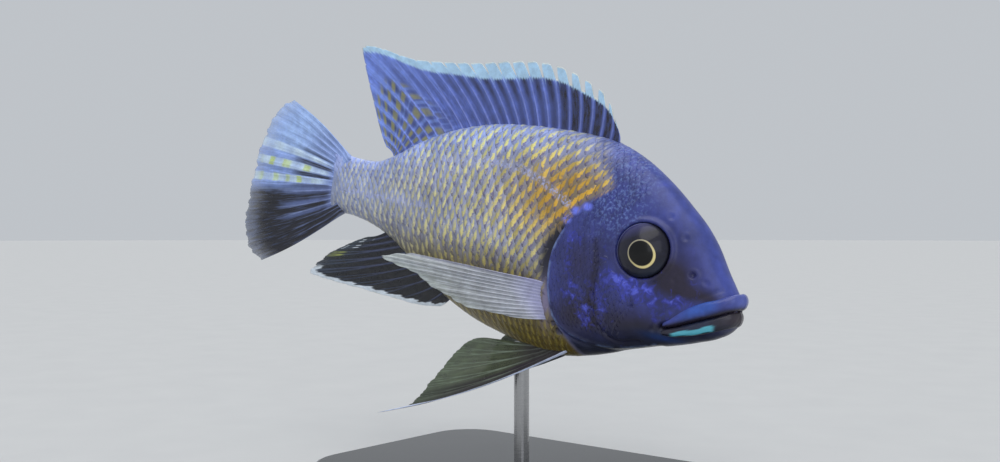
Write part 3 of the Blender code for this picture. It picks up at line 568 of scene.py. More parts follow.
table_y, table_z = section(TABLE_U[:, None], TABLE_ANGLE[None, :])
table_step = np.hypot(np.diff(table_y, axis=1), np.diff(table_z, axis=1))
table_arc = np.concatenate([np.zeros((len(TABLE_U), 1)), np.cumsum(table_step, axis=1)], axis=1)
table_arc -= table_arc[:, [len(TABLE_ANGLE) // 2]]
girth_top, girth_low = table_arc[:, -1], -table_arc[:, 0]
table_of_angles = np.array([
    np.interp(np.where(TABLE_SHARE > 0, TABLE_SHARE * top, TABLE_SHARE * low), arc, TABLE_ANGLE)
    for arc, top, low in zip(table_arc, girth_top, girth_low)])


def girth(u, w):
    """How far the back, or for a negative w the belly, lies from the widest line, along the skin."""
    return np.where(w > 0, np.interp(u, TABLE_U, girth_top), np.interp(u, TABLE_U, girth_low))


def angle_of(u, w):
    """The angle of a point that lies w above the widest line, measured along the skin."""
    share = np.clip(w / girth(u, w), -1, 1)
    i = np.clip((u - TABLE_U[0]) / (TABLE_U[1] - TABLE_U[0]), 0, len(TABLE_U) - 1.001)
    j = np.clip((share + 1) / 2 * (len(TABLE_SHARE) - 1), 0, len(TABLE_SHARE) - 1.001)
    row, column = i.astype(int), j.astype(int)
    i, j = i - row, j - column
    nearer = table_of_angles[row, column] * (1 - j) + table_of_angles[row, column + 1] * j
    further = table_of_angles[row + 1, column] * (1 - j) + table_of_angles[row + 1, column + 1] * j
    return nearer * (1 - i) + further * i


def on_side(u, w, side, lift):
    """Places on one side of the body, a distance in metres above the skin."""
    angle = angle_of(u, w)
    z = section(u, angle)[1]
    at, out = surface(u, np.where(side > 0, angle, math.pi - angle))
    return at + out * (relief(u, z) + lift)[..., None], z


half_girth = float(girth(0.40, 1) + girth(0.40, -1)) * BODY_LENGTH / MM
print("half girth at the shoulder", round(half_girth, 1), "mm")

# %% Lay out the rows of scales
SHARE = MM / BODY_LENGTH  # a millimetre as a share of the body length
FLANK_PITCH = [(0.24, 1.40), (0.34, 1.80), (0.45, 2.05), (0.70, 2.00), (0.85, 1.70), (1.00, 1.25)]  # mm
HEAD_PITCH = [(0.10, 0.95), (0.38, 1.20)]
ROW_PITCH = 0.93  # of the scale's own pitch
MOST_ROWS = 36  # on each side of the widest line
LEAN = [(0.14, 0.20), (0.28, 0.20), (0.40, 0.02), (0.55, -0.22), (0.75, -0.34), (1.00, -0.40)]
NAPE_FRONT = [(-0.11, 0.200), (-0.05, 0.165), (0.00, 0.200), (0.06, 0.235), (0.15, 0.200), (0.19, 0.235),
              (0.22, 0.275)]
lean_at = curve(LEAN)


def leaning(u, w):
    """How far each column of scales leans forwards as it climbs. It leans back below the widest line."""
    return lean_at(u) - 0.30 * ease(-w, 0, 0.12)


def lattice(pitch_at, grows):
    """u and w of each scale on one side, row by row from the widest line, where grows says so."""
    line = np.linspace(0.10, 1.03, 1861)
    counted = np.concatenate([[0], np.cumsum(np.diff(line) / (pitch_at(line[:-1]) * SHARE))])
    places = []
    for row in range(-MOST_ROWS, MOST_ROWS + 1):
        steps = np.arange(0, counted[-1] - 1) + (row % 2) / 2
        u = np.interp(steps, counted, line)
        w = row * ROW_PITCH * pitch_at(u) * SHARE
        u = u - w * leaning(u, w) * ease(np.abs(w), 0, 0.10)
        places.append(joined(u, w)[np.abs(w) < girth(u, w) + 0.004])
    u, w = np.concatenate(places).T
    return joined(u, w)[grows(u, section(u, angle_of(u, w))[1])]


def on_flank(u, z):
    """Where the large scales grow: behind the gill opening, and on the nape behind the gold's edge."""
    behind_gill = u - gill_u(z) > 0.004
    nape = (z > GILL_TOP + 0.004) & (u > gold_front(z) - 0.006)
    tail_end = 1.002 + 4.5 * (z - 0.003) ** 2
    return (behind_gill | nape) & (u > gold_front(z) - 0.05) & (u < tail_end)


def on_head(u, z):
    """Where the small scales grow: on the nape, the gill cover and the cheek, clear of the eye."""
    nape_front = np.interp(z, *zip(*NAPE_FRONT))
    before_gill = (gill_u(z) - u > 0.008) | (z > GILL_TOP + 0.004)
    clear_of_eye = np.hypot(u - EYE_AT[0], z - EYE_AT[1]) > 0.073
    return before_gill & clear_of_eye & (u > nape_front) & (z > -0.125) & (u < gold_front(z) + 0.004)


flank_pitch, head_pitch = curve(FLANK_PITCH), curve(HEAD_PITCH)
flank_roots, head_roots = lattice(flank_pitch, on_flank), lattice(head_pitch, on_head)
print(len(flank_roots), "large and", len(head_roots), "small scales on each side")

# %% Make the leaves
LEAF_ALONG, LEAF_ACROSS = 6, 7
ROOT_AT, MARGIN_AT = -0.60, 0.76  # in pitches from the scale's place
SCALE_HALF = 1.08  # half of a scale's width, in rows
MARGIN_ROUND = 0.34
FLANK_LIFTS = (-0.12 * MM, 0.09 * MM, 0.09 * MM)  # at the root, at the margin, and the leaf's thickness
HEAD_LIFTS = (-0.08 * MM, 0.035 * MM, 0.06 * MM)
BAKE_PATCH = 0.003  # how large each leaf is on the OFBake map


def leaf():
    """The points of one scale: shares along it and across it, and the faces between them."""
    along, across = np.meshgrid(np.linspace(0, 1, LEAF_ALONG), np.linspace(-1, 1, LEAF_ACROSS), indexing="ij")
    number = np.arange(along.size).reshape(along.shape)
    faces = []
    for i in range(LEAF_ALONG - 1):
        for j in range(LEAF_ACROSS - 1):
            faces.append((number[i, j], number[i + 1, j], number[i + 1, j + 1], number[i, j + 1]))
    edge = [*number[0, :-1], *number[:-1, -1], *number[-1, :0:-1], *number[:0:-1, 0]]
    under = {top: along.size + n for n, top in enumerate(edge)}
    for a, b in zip(edge, edge[1:] + edge[:1]):
        faces.append((a, b, under[b], under[a]))
    faces.append(tuple(under[n] for n in edge))
    shares = joined(along.ravel(), across.ravel())
    shares = np.concatenate([shares, shares[edge]])
    return shares, np.arange(len(shares)) >= along.size, faces


def make_scales(name, side, chosen, pitch_at, lifts):
    """Joins one leaf for each root into a single mesh."""
    shares, is_under, faces = leaf()
    u0, w0 = chosen[:, :1], chosen[:, 1:]
    pitch = pitch_at(u0) * SHARE
    length = rng.uniform(0.95, 1.06, u0.shape)
    tilt = rng.normal(0, 0.045, u0.shape)
    proud = rng.uniform(0.60, 1.25, u0.shape)
    a, b = shares[None, :, 0], shares[None, :, 1]
    narrow = 0.70 + 0.30 * np.sin(limited(a * 1.25) * math.pi / 2) - 0.10 * a**4
    x = ROOT_AT + (MARGIN_AT * length - MARGIN_ROUND * b**2 - ROOT_AT) * a
    y = b * SCALE_HALF * narrow
    low, high, thick = lifts
    z0 = section(u0, angle_of(u0, w0))[1]
    high = high * (1 - 0.55 * ease(-z0, 0.10, 0.20)) * (1 - 0.6 * ease(u0, 0.95, 1.01))
    lift = low + (high * proud - low) * a - 0.5 * high * b**2 * a - is_under[None, :] * thick
    w = w0 + (y + tilt * x) * pitch * ROW_PITCH
    u = u0 + (x - tilt * y) * pitch - (w - w0) * leaning(u0, w0)
    reach = girth(u, w)
    w = np.clip(w, -reach * 0.999, reach * 0.999)
    z = section(u, angle_of(u, w))[1]
    gill = gill_u(z)
    at_gill = (z < GILL_TOP - 0.004) & (z > GILL_FOOT - 0.02)
    behind = u0 > gill
    u = np.where(at_gill & behind, np.maximum(u, gill + 0.0012), u)
    u = np.where(at_gill & ~behind, np.minimum(u, gill - 0.0050), u)
    lift = lift - 0.25 * MM * (at_gill & behind & (u < gill + 0.004))
    places, z = on_side(u, w, side, lift)
    total, points = len(chosen), len(shares)
    data = bpy.data.meshes.new(name)
    order = faces if side < 0 else [face[::-1] for face in faces]
    numbers = [[n + k * points for n in face] for k in range(total) for face in order]
    data.from_pydata(places.reshape(-1, 3), [], numbers)
    marks = markings(u.ravel(), z.ravel())
    marks["tone"] = np.repeat(rng.uniform(0, 1, total), points)
    attach(data, marks)
    patch = joined(a + 0 * u, b / 2 + 0.5)
    put_uv(data, "leaf", patch.reshape(-1, 2))
    spot = joined(u0 / 1.1, 0.5 + (w0 / 0.30 + side) / 4)
    put_uv(data, "OFBake", (spot + (patch - 0.5) * BAKE_PATCH).reshape(-1, 2))
    return linked(name, data)


rng = np.random.default_rng(7)
flank_coats, head_coats = [], []
for side, name in SIDES:
    flank_coats.append(make_scales("flank_scales_" + name, side, flank_roots, flank_pitch, FLANK_LIFTS))
    head_coats.append(make_scales("head_scales_" + name, side, head_roots, head_pitch, HEAD_LIFTS))
print(round(len(flank_coats[0].data.polygons) / len(flank_roots)), "faces a scale")

# %% [markdown]
# ## The fins
# A fin is a web of skin stretched between rays. The stiff front rays of the back fin are single
# spines, and the soft rays elsewhere split into two and then four towards the edge. Each fin here
# is one closed sheet, with the rays raised in its own surface on both faces. The sheet is worked
# out ray by ray, from where each ray is rooted to where it ends, so its rays spread as real ones do.

# %% Give a function that wraps a grid into a fin
WEB_HALF = 0.085 * MM
EDGE_COLUMNS = 3
EDGE_RAYS = 0.12  # how wide a fin's front and rear edges are rounded, in rays
EDGE_OUT = 0.015  # the same for its outer edge, as a share of each ray
ROOT_SWELL = 0.16  # the share of each ray over which a fin swells into the body
LOOK_ROUND = 0.004  # how far a point's neighbours are that give its direction, in shares


def rounded(inwards):
    """How thick a round edge is, for the share of the way in from it, as a share of the whole."""
    return np.sqrt(1 - (1 - limited(inwards)) ** 2)


def make_fin(name, rays, columns, rows, root, tip, bow, reach, paint, spines=0, ray_height=0.17,
             ray_width=0.17, root_half=0.75, ripple=0.10, seed=0.0):
    """A fin as a closed sheet. root, tip and bow give each ray's ends and its curve, as arrays of
    (u, y, z) for a share of the way along the fin. reach gives how much of each ray the web covers.
    paint gives the strength of each pigment, from the ray's number, the share of the way out, the
    distance to the edge in centimetres, and how near the middle of a ray is."""
    def middle(share, t):
        share = limited(share)
        start, end = root(share), tip(share)
        return place(*np.moveaxis(start + (end - start) * t[..., None] + bow(share, t), -1, 0))

    def shape(across, up):
        front = across <= 0.5
        folded = np.where(front, across * 2, 2 - across * 2)
        edge, thin = EDGE_COLUMNS / columns, EDGE_RAYS / (rays - 1)
        share = np.interp(folded, [0, edge, 1 - edge, 1], [0, thin, 1 - thin, 1])
        t = up * reach(share)
        before, after = limited(share - LOOK_ROUND), limited(share + LOOK_ROUND)
        sideways = middle(after, t) - middle(before, t)
        outwards = middle(share, t + LOOK_ROUND) - middle(share, t - LOOK_ROUND)
        normal = unit(np.cross(sideways, outwards))
        gap = np.linalg.norm(sideways, axis=-1) / (after - before) / (rays - 1) / MM
        number = share * (rays - 1)
        nearest = np.round(number)
        soft = nearest >= spines
        split = soft * (0.17 * ease(t, 0.30, 0.75))
        again = soft * (0.09 * ease(t, 0.62, 1.0))
        away = np.abs(np.abs(np.abs(number - nearest) - split) - again) * gap
        fine = 1 - 0.55 * t
        ray = bell(away, ray_width * fine) * (1 - 0.30 * soft * ease(t, 0.3, 0.8))
        joints = 1 - 0.22 * soft * (np.sin(t * 150 + 0.7 * nearest) > 0.3) * ease(t, 0.25, 0.5)
        swell = limited(1 - t / ROOT_SWELL) ** 1.5 * ease(t, -0.002, 0.03)
        half = WEB_HALF + ray * joints * ray_height * fine * MM
        half = half + np.maximum(root_half * MM - half, 0) * swell
        half = half * rounded((1 - up) / EDGE_OUT) * rounded(share / thin) * rounded((1 - share) / thin)
        wave = ripple * MM * np.sin(2.1 * number + seed + 4 * t) * ease(t, 0.15, 0.8)
        wave = wave - 0.5 * ripple * MM * np.cos(2 * math.pi * number) * ease(t, 0.1, 0.4)
        offset = wave + np.where(front, half, -half) * (up > 0)
        height = np.linalg.norm(middle(share, reach(share)) - middle(share, 0 * t), axis=-1) / MM
        marks = {"ray": ray, **paint(number, t, (reach(share) - t) * height / 10, ray)}
        return middle(share, t) + normal * offset[..., None], marks, joined(share, t)

    fin = wrapped_grid(name, 2 * columns, rows, shape, merge=1e-6)
    print(name, len(fin.data.polygons), "faces")
    return fin


def along_ends(inner):
    """A curve through points of the middle plane, as (u, y, z)."""
    def at(share):
        u, z = np.moveaxis(inner(share), -1, 0)
        return joined(u, 0, z)
    return at


def dashes(number, t, count, lit):
    """Short marks along a fin, set off from those of the next ray. lit is the share that they fill."""
    start = number * 0.618 + 0.25 * np.sin(5.3 * number + 9 * t)
    return ease(np.cos(2 * math.pi * (t * count + start)), 1 - 2 * lit, 1.4 - 2 * lit)


def gap_of(number):
    """1 halfway between two rays and 0 on them."""
    return np.sin(math.pi * number) ** 2


# %% The back fin
DORSAL_RAYS = 26
DORSAL_SPINES = 16
DORSAL_ROOTS = (0.312, 0.655, 0.862)  # of the first spine, the last spine and the last ray
ROOT_DEPTH = 0.020
DORSAL_TIPS_SPINY = [(0.326, 0.240), (0.345, 0.276), (0.370, 0.299), (0.404, 0.314), (0.445, 0.327),
                     (0.486, 0.335), (0.529, 0.337), (0.598, 0.330), (0.687, 0.316), (0.753, 0.309),
                     (0.812, 0.304)]
DORSAL_TIPS_SOFT = [(0.850, 0.303), (0.898, 0.308), (0.945, 0.315), (0.994, 0.312), (0.980, 0.272),
                    (0.958, 0.232), (0.938, 0.196), (0.918, 0.160), (0.898, 0.130), (0.880, 0.108)]
LAST_RAY, LAST_SPINE = DORSAL_RAYS - 1, DORSAL_SPINES - 1
spiny_tips, soft_tips = trace(DORSAL_TIPS_SPINY), numbered([DORSAL_TIPS_SPINY[-1]] + DORSAL_TIPS_SOFT)


def dorsal_root(share):
    """Roots of the back fin's rays, sunk in the back."""
    u = np.interp(share * LAST_RAY, (0, LAST_SPINE, LAST_RAY), DORSAL_ROOTS)
    return joined(u, 0, back(u) - ROOT_DEPTH)


def dorsal_tip(share):
    """Tips of its spines on one line, and of its soft rays on another."""
    number = share * LAST_RAY
    soft = limited((number - LAST_SPINE) / (LAST_RAY - LAST_SPINE))
    on_spines = (number <= LAST_SPINE)[..., None]
    u, z = np.moveaxis(np.where(on_spines, spiny_tips(limited(number / LAST_SPINE)), soft_tips(soft)), -1, 0)
    return joined(u, 0, z)


def dorsal_bow(share, t):
    late = np.maximum((share - 0.6) / 0.4, 0)
    return joined(-0.006 * np.sin(math.pi * t), -0.012 * late**2 * t**2, 0.004 * np.sin(math.pi * t))


def lappets(share):
    """The web stops short between two spines, and stands up as a lappet just behind each."""
    number = share * LAST_RAY
    phase = number % 1
    start = np.interp(number, [0, 4, 7, 10, 16], [0.46, 0.52, 0.72, 0.80, 0.84])
    notch = ease(phase, start, start + 0.12) * (1 - ease(phase, 0.93, 0.99))
    corners = 0.06 * ease(phase, 0.20, 0.75) + 0.05 * (1 - ease(phase, 0.00, 0.16))
    depth = np.interp(number, [0, 1, 3, 8, 12, 14, 16, 25],
                      [0.20, 0.23, 0.23, 0.20, 0.17, 0.10, 0.030, 0.012])
    return 1 - depth * np.minimum(notch + corners, 1)


def dorsal_paint(number, t, rim, ray):
    """Black membranes in front, violet ones behind, olive spots low at the rear, and a white edge."""
    gap = gap_of(number)
    cell = np.floor(number)
    edge = np.interp(number, [0, 1, 4, 12, 15, 17, 18, 19, 19.7, 25],
                     [0.20, 0.25, 0.26, 0.24, 0.19, 0.12, 0.085, 0.06, -0.05, -0.05])
    edge = edge + 0.018 * np.sin(7.1 * cell) + 0.012 * np.sin(31 * number)
    front = 1 - ease(number, 4.5, 7.5)
    low = 1 - ease(t - 0.13 * (number - 18.5), 0.48, 0.62)
    spots = ease(gap, 0.05, 0.35) * dashes(cell, t, 7, 0.44) * ease(number, 17.0, 19.0) * low
    mosaic = (1 - spots) * dashes(cell + 0.5, t, 14, 0.35) * ease(number, 15.5, 19) * low
    dark = front * (0.25 + 0.75 * ease(gap, 0.06, 0.55))
    dark = dark + (1 - front) * 0.62 * gap * (1 - ease(number, 11, 17))
    dark = dark + 0.35 * gap * window(t, 0.50, 0.80, 0.12) + 0.45 * gap * ease(number, 15, 20) * low
    pale = 0.80 * ease(number, 13, 21) * ease(t, 0.25, 0.80) * (1 - 0.5 * gap) + 0.85 * mosaic
    pale = pale + 0.35 * ease(0.9 - t, 0.72, 0.92) * np.abs(np.sin(number * 2.6))
    return {"pale": limited(pale), "dark": limited(dark), "yellow": spots * 0.85,
            "white": ease(t, 1 - edge - 0.018, 1 - edge + 0.018),
            "cream": 0.75 * (1 - ease(rim, 0.010, 0.040)) * (edge > 0), "solid": 0.84 + 0.16 * ray}


dorsal_fin = make_fin("back_fin", DORSAL_RAYS, 425, 64, dorsal_root, dorsal_tip, dorsal_bow, lappets,
                      dorsal_paint, spines=DORSAL_SPINES, ray_height=0.20, ray_width=0.20, root_half=0.85)

# %% The tail fin
CAUDAL_ROOT = [(0.972, 0.062), (0.985, 0.045), (0.990, 0.000), (0.985, -0.040), (0.972, -0.054)]
CAUDAL_TIPS = [(1.176, 0.166), (1.204, 0.150), (1.224, 0.120), (1.241, 0.076), (1.252, 0.028),
               (1.258, -0.023), (1.262, -0.069), (1.266, -0.118), (1.262, -0.165), (1.244, -0.202),
               (1.208, -0.222)]
CAUDAL_RAYS = 18
FIRST_WHITE_RAY, WHITE_RAY_GAP = 5.1, 1.64  # in ray numbers


def caudal_bow(share, t):
    edge = 2 * share - 1
    return joined(0, 0.010 * edge**2 * t**2 - 0.004, -0.010 * edge * np.sin(math.pi * t))


def scalloped(rays, depth, seed):
    """A web whose edge draws in a little between rays, and frays here and there."""
    def reach(share):
        number = share * (rays - 1)
        uneven = 0.55 + 0.45 * np.sin(1.7 * number + seed)
        fray = np.sin(number * 5.1 + seed) ** 6 + 0.6 * np.sin(number * 13.7 + 2 * seed) ** 4
        return 1 - depth * (uneven * np.sin(math.pi * number) ** 2 + 0.5 * fray)
    return reach


def caudal_paint(number, t, rim, ray):
    """Pale blue above, white rays with yellow dashes in the middle, and charcoal below. Both lobes are
    partly painted light: the upper one paler as a painted highlight, the lower one darker as painted shade.
    """
    middle = window(number, 4.3, 9.2, 0.7)
    upper = 1 - ease(number, 3.8, 6.2)
    lower = ease(number, 8.9, 10.2)
    phase = (number - FIRST_WHITE_RAY) / (WHITE_RAY_GAP / 2)
    pair = np.round(phase / 2)
    on_pair = 0.5 + 0.5 * np.cos(math.pi * phase)
    width = np.interp(t, [0.1, 0.5, 1.0], [0.42, 0.30, 0.45]) + 0.08 * np.sin(5 * t + 2 * pair)
    bright = middle * ease(on_pair, width, width + 0.22) * ease(t, 0.12, 0.26)
    dark = middle * (1 - ease(on_pair, 0.10, 0.42)) * ease(t, 0.10, 0.18) * (1 - ease(t, 0.45, 0.66))
    # The lower lobe's charcoal is partly its own colour and partly painted shade.
    below = lower * np.maximum(ease(t, 0.04, 0.20), ease(number, 12, 15))
    faint = on_pair * window(number, 9.5, 13.6, 0.4) * window(t, 0.10, 0.62, 0.16)
    below = below * (1.25 - 0.40 * ray * (1 - ease(t, 0.35, 0.75)) - 0.35 * ease(t, 0.75, 1.0))
    dark = dark + below * (1 - 0.55 * faint)
    dark = dark + 0.35 * upper * gap_of(number) * window(t, 0.22, 0.45, 0.12)
    yellow = window(number, 6.0, 9.2, 0.3) * window(t, 0.36, 0.92, 0.06) * ease(on_pair, 0.35, 0.6)
    yellow = yellow * dashes(1.7 * pair + 0.3, t, 6, 0.45) * (0.45 + 0.5 * np.abs(np.sin(2.3 * pair + 7 * t)))
    patchy = 0.55 + 0.45 * np.sin(14 * t + 1.9 * pair) ** 2
    # The upper lobe's pale blue is partly a painted highlight.
    return {"pale": limited(upper * (0.45 + 0.55 * ease(t, 0.25, 0.65)) + 0.25 * middle),
            "dark": np.clip(dark, 0, 1.25), "yellow": yellow,
            "white": limited(bright * patchy + 0.15 * (1 - ease(rim, 0.02, 0.09))),
            "solid": 0.90 + 0.10 * ray - 0.42 * ease(t, 0.72, 1.0)}


caudal_fin = make_fin("tail_fin", CAUDAL_RAYS, 272, 72, along_ends(trace(CAUDAL_ROOT)),
                      along_ends(trace(CAUDAL_TIPS)), caudal_bow, scalloped(CAUDAL_RAYS, 0.014, 1),
                      caudal_paint, ray_height=0.19, ray_width=0.17, root_half=1.2, ripple=0.16)

# %% The anal fin
ANAL_RAYS = 12
ANAL_ROOT = (0.640, 0.838)
ANAL_TIPS = [(0.680, -0.198), (0.735, -0.209), (0.800, -0.212), (0.870, -0.216), (0.940, -0.218),
             (1.005, -0.219), (1.062, -0.216), (1.044, -0.190), (1.015, -0.162), (0.980, -0.138),
             (0.944, -0.116), (0.905, -0.098)]


def anal_root(share):
    u = np.interp(share, (0, 1), ANAL_ROOT)
    return joined(u, 0, belly(u) + ROOT_DEPTH)


def anal_bow(share, t):
    return joined(0, 0.006 * t**2, -0.005 * np.sin(math.pi * t))


def anal_paint(number, t, rim, ray):
    """Black, with a ragged white lower edge and a few pale and yellow streaks at the rear."""
    ragged = 0.19 + 0.060 * np.sin(number * 9.0) + 0.03 * np.sin(number * 23.0)
    ragged = ragged + 0.06 * window(number, 2, 6, 1.5)
    on_ray = ease(ray, 0.1, 0.6)
    white = (1 - ease(rim, ragged, ragged + 0.05)) * (1 - ease(number, 6.3, 7.0))
    white = white + 0.8 * (dashes(np.round(number), t, 5, 0.30) * on_ray * window(number, 8.6, 10.6, 0.3)
                           * window(t, 0.55, 1.0, 0.06))
    yellow = window(number, 7.6, 8.4, 0.25) * window(t, 0.78, 0.96, 0.04) * on_ray
    flecked = window(number, 1.5, 5.0, 0.8) * (np.sin(number * 7) > 0.3)
    yellow = yellow + 0.5 * (1 - ease(rim, 0.02, 0.05)) * flecked
    pale = 0.55 * ease(t, 0.45, 1.0) * ease(number, 5, 11) + 0.5 * ray * ease(t, 0.4, 0.9)
    return {"white": limited(white), "yellow": limited(yellow) * 0.9, "pale": limited(pale),
            "solid": 0.88 + 0.12 * ray - 0.10 * ease(t, 0.8, 1.0)}


anal_fin = make_fin("anal_fin_web", ANAL_RAYS, 198, 64, anal_root, along_ends(numbered(ANAL_TIPS)), anal_bow,
                    scalloped(ANAL_RAYS, 0.028, 2), anal_paint, spines=3, ray_height=0.19, ray_width=0.26,
                    root_half=0.8)

# %% The breast fins
PECTORAL_RAYS = 13
PECTORAL_SUNK = 0.014
PECTORAL_ROOT = [(0.366, -0.062), (0.368, -0.085), (0.364, -0.108), (0.356, -0.132)]
PECTORAL_TIPS = [(0.640, 0.158, -0.068), (0.705, 0.176, -0.090), (0.668, 0.165, -0.096),
                 (0.625, 0.153, -0.107), (0.573, 0.139, -0.127), (0.531, 0.128, -0.139),
                 (0.454, 0.108, -0.139)]


def pectoral(side):
    """Root, tip and bow of a breast fin."""
    roots_at, tips_at = trace(PECTORAL_ROOT), trace(PECTORAL_TIPS)

    def root(share):
        u, z = np.moveaxis(roots_at(share), -1, 0)
        return joined(u, side * (flank(u, z) - PECTORAL_SUNK), z)

    def tip(share):
        return tips_at(share) * (1, side, 1)

    def bow(share, t):
        lift = 4 * t * (1 - t)
        return joined(0, side * 0.026 * lift * (1 - 0.5 * t), 0.006 * lift * (0.5 - share))

    return root, tip, bow


def pectoral_paint(number, t, rim, ray):
    """Clear web with a pale, dense root."""
    root_part = 1 - ease(t, 0.04, 0.24)
    return {"dark": 0.28 * (1 - ray) * (1 - root_part) * (1 - ease(t, 0.75, 1.0)),
            "pale": limited(root_part * 0.9 + 0.5 * (1 - ease(number, 0.2, 0.9))),
            "solid": limited(0.60 + 0.30 * ray + 0.4 * root_part)}


pectoral_fins = []
for side, name in SIDES:
    pectoral_fins.append(make_fin("breast_fin_" + name, PECTORAL_RAYS, 182, 64, *pectoral(side),
                                  scalloped(PECTORAL_RAYS, 0.010, side), pectoral_paint, spines=1,
                                  ray_height=0.11, ray_width=0.13, root_half=0.6, ripple=0.22, seed=side))

# %% The belly fins
PELVIC_RAYS = 8
PELVIC_ROOT = [(0.313, -0.193), (0.340, -0.202), (0.368, -0.207), (0.392, -0.208)]
PELVIC_TIPS = [(0.728, 0.088, -0.434), (0.665, 0.080, -0.402), (0.640, 0.074, -0.376),
               (0.620, 0.066, -0.340), (0.600, 0.056, -0.300), (0.578, 0.046, -0.260),
               (0.545, 0.036, -0.226), (0.490, 0.026, -0.213)]
PELVIC_SPREAD = 0.022
PELVIC_SUNK = 0.014
LEFT_LENGTH = 0.84  # of the right one's
LEFT_LIFT = 0.036  # of its tips, because it is folded closer to the belly


def pelvic(side):
    """Root, tip and bow of a belly fin."""
    roots_at, tips_at = trace(PELVIC_ROOT), numbered(PELVIC_TIPS)
    length, lifted = (LEFT_LENGTH, LEFT_LIFT) if side > 0 else (1.0, 0.0)

    def root(share):
        u, z = np.moveaxis(roots_at(share), -1, 0)
        return joined(u, side * (PELVIC_SPREAD + 0.010 * (1 - share)), z + PELVIC_SUNK + 0.2 * lifted)

    def tip(share):
        u, y, z = np.moveaxis(tips_at(share), -1, 0)
        start = root(share)
        return start + (joined(u, side * y, z + lifted * (1 - share)) - start) * length

    def bow(share, t):
        lift = 4 * t * (1 - t)
        return joined(0, side * 0.006 * lift, -0.018 * lift * (1 - share))

    return root, tip, bow


def pelvic_paint(number, t, rim, ray):
    """Smoky, with a white leading ray and dark streaks behind it."""
    lead = 1 - ease(number, 0.12 + 0.6 * t**4, 0.30 + 0.8 * t**4)
    dark = window(number, 0.3, 2.6, 0.4) * (0.9 - 0.6 * ray) * (1 - 0.6 * ease(t, 0.6, 1.0))
    dark = dark + 0.8 * (1 - ease(t, 0.15, 0.40)) * (1 - lead)
    return {"dark": limited(dark), "white": limited(lead),
            "solid": limited(0.80 + 0.20 * ray + 0.2 * lead + 0.1 * dark)}


pelvic_fins = []
for side, name in SIDES:
    pelvic_fins.append(make_fin("belly_fin_" + name, PELVIC_RAYS, 140, 72, *pelvic(side),
                                scalloped(PELVIC_RAYS, 0.020, 3 * side), pelvic_paint, spines=1,
                                ray_height=0.16, ray_width=0.16, root_half=0.4, ripple=0.18, seed=2 * side))

# %% [markdown]
# ## Eyes and lips
# The eye is a shallow lens with no lids. It is its own piece, so that its gloss ends cleanly at the
# socket. The lips are two soft bands that follow the gape round the snout. A curve with a round
# profile could make them, but their height changes along the way, so a grid is wrapped into a tube.

# %% The eyes


def make_eye(name, side):
    """A shallow ball with a slightly flatter middle, and its own map of forward and up."""
    middle, looks = eye_axis(side)
    ahead = tipped([1.0, 0, 0])
    ahead = unit(ahead - looks * (ahead @ looks))
    below = np.cross(looks, ahead) * side
    data, ball = made_by(bmesh.ops.create_uvsphere, name, u_segments=96, v_segments=64, radius=1.0)
    lens = 0.30 * MM * bell(np.hypot(ball[:, 0], ball[:, 1]), 0.50, 4) * (ball[:, 2] > 0)
    places = middle + (ball[:, :1] * ahead * side + ball[:, 1:2] * below) * EYE_RADIUS
    places = places + (ball[:, 2:] * (EYE_BULGE - 0.15 * MM) + lens[:, None]) * looks
    data.vertices.foreach_set("co", places.ravel())
    put_uv(data, "eye", joined(ball[:, 0] * side, -ball[:, 1]) / 2 + 0.5)
    return linked(name, data)


eyes = [make_eye("eyeball_right", -1), make_eye("eyeball_left", 1)]

# %% The lips
UPPER_LIP = [(0.00, 0.013, 0.000, -0.011, 0.0145), (0.30, 0.022, 0.019, -0.015, 0.0150),
             (0.50, 0.042, 0.031, -0.027, 0.0155), (0.70, 0.072, 0.040, -0.043, 0.0160),
             (0.88, 0.105, 0.046, -0.064, 0.0120), (1.00, 0.127, 0.048, -0.079, 0.0050)]
LOWER_LIP = [(0.00, 0.016, 0.000, -0.041, 0.0150), (0.30, 0.024, 0.018, -0.045, 0.0150),
             (0.50, 0.044, 0.029, -0.057, 0.0140), (0.70, 0.074, 0.038, -0.072, 0.0120),
             (0.88, 0.106, 0.044, -0.086, 0.0085), (1.00, 0.127, 0.047, -0.092, 0.0045)]
LIP_THICKNESS = 0.0100


def make_lip(name, route, stripe):
    """A soft band from one corner of the mouth to the other. stripe is 1 where it has a turquoise line."""
    path = curve(route)

    def shape(across, up):
        side = np.where(across < 0.5, -1.0, 1.0)
        way = np.abs(2 * across - 1)  # 0 at the tip of the snout, 1 in the corner of the mouth
        u, y, z, tall = np.moveaxis(path(way), -1, 0)
        ahead = path(np.minimum(way + 0.02, 1)) - path(np.maximum(way - 0.02, 0))
        along = np.hypot(ahead[:, 0], ahead[:, 1])
        front = way < 0.04
        out_x = np.where(front, 1.0, ahead[:, 1] / along)
        out_y = np.where(front, 0.0, side * ahead[:, 0] / along)
        taper = np.minimum(1, 0.45 + 2.2 * (1 - way))
        closing = rounded((1 - way) / 0.03)
        angle = 2 * math.pi * up
        fold = 1 + 0.035 * np.sin(7 * angle + 20 * way) * np.sin(31 * way)
        wide = LIP_THICKNESS * taper * np.cos(angle) * closing * fold
        rise = tall * np.sin(angle) * closing
        low = -0.54 + 0.08 * np.sin(26 * way)
        on_line = window(way, 0.47, 0.88, 0.03) * window(np.sin(angle), low - 0.26, low + 0.52, 0.06)
        marks = {"upward": ease(np.sin(angle), -0.75, 0.10), "tip": 1 - ease(way, 0.10, 0.45),
                 "midway": window(way, 0.50, 0.80, 0.10), "stripe": stripe * on_line}
        return place(u - out_x * wide, side * y + out_y * wide, z + rise), marks, None

    return wrapped_grid(name, 120, 36, shape, merge=1e-7)


lips = [make_lip("lip_upper", UPPER_LIP, 0.0), make_lip("lip_lower", LOWER_LIP, 1.0)]
print("eyes and lips", [len(thing.data.polygons) for thing in eyes + lips], "faces")

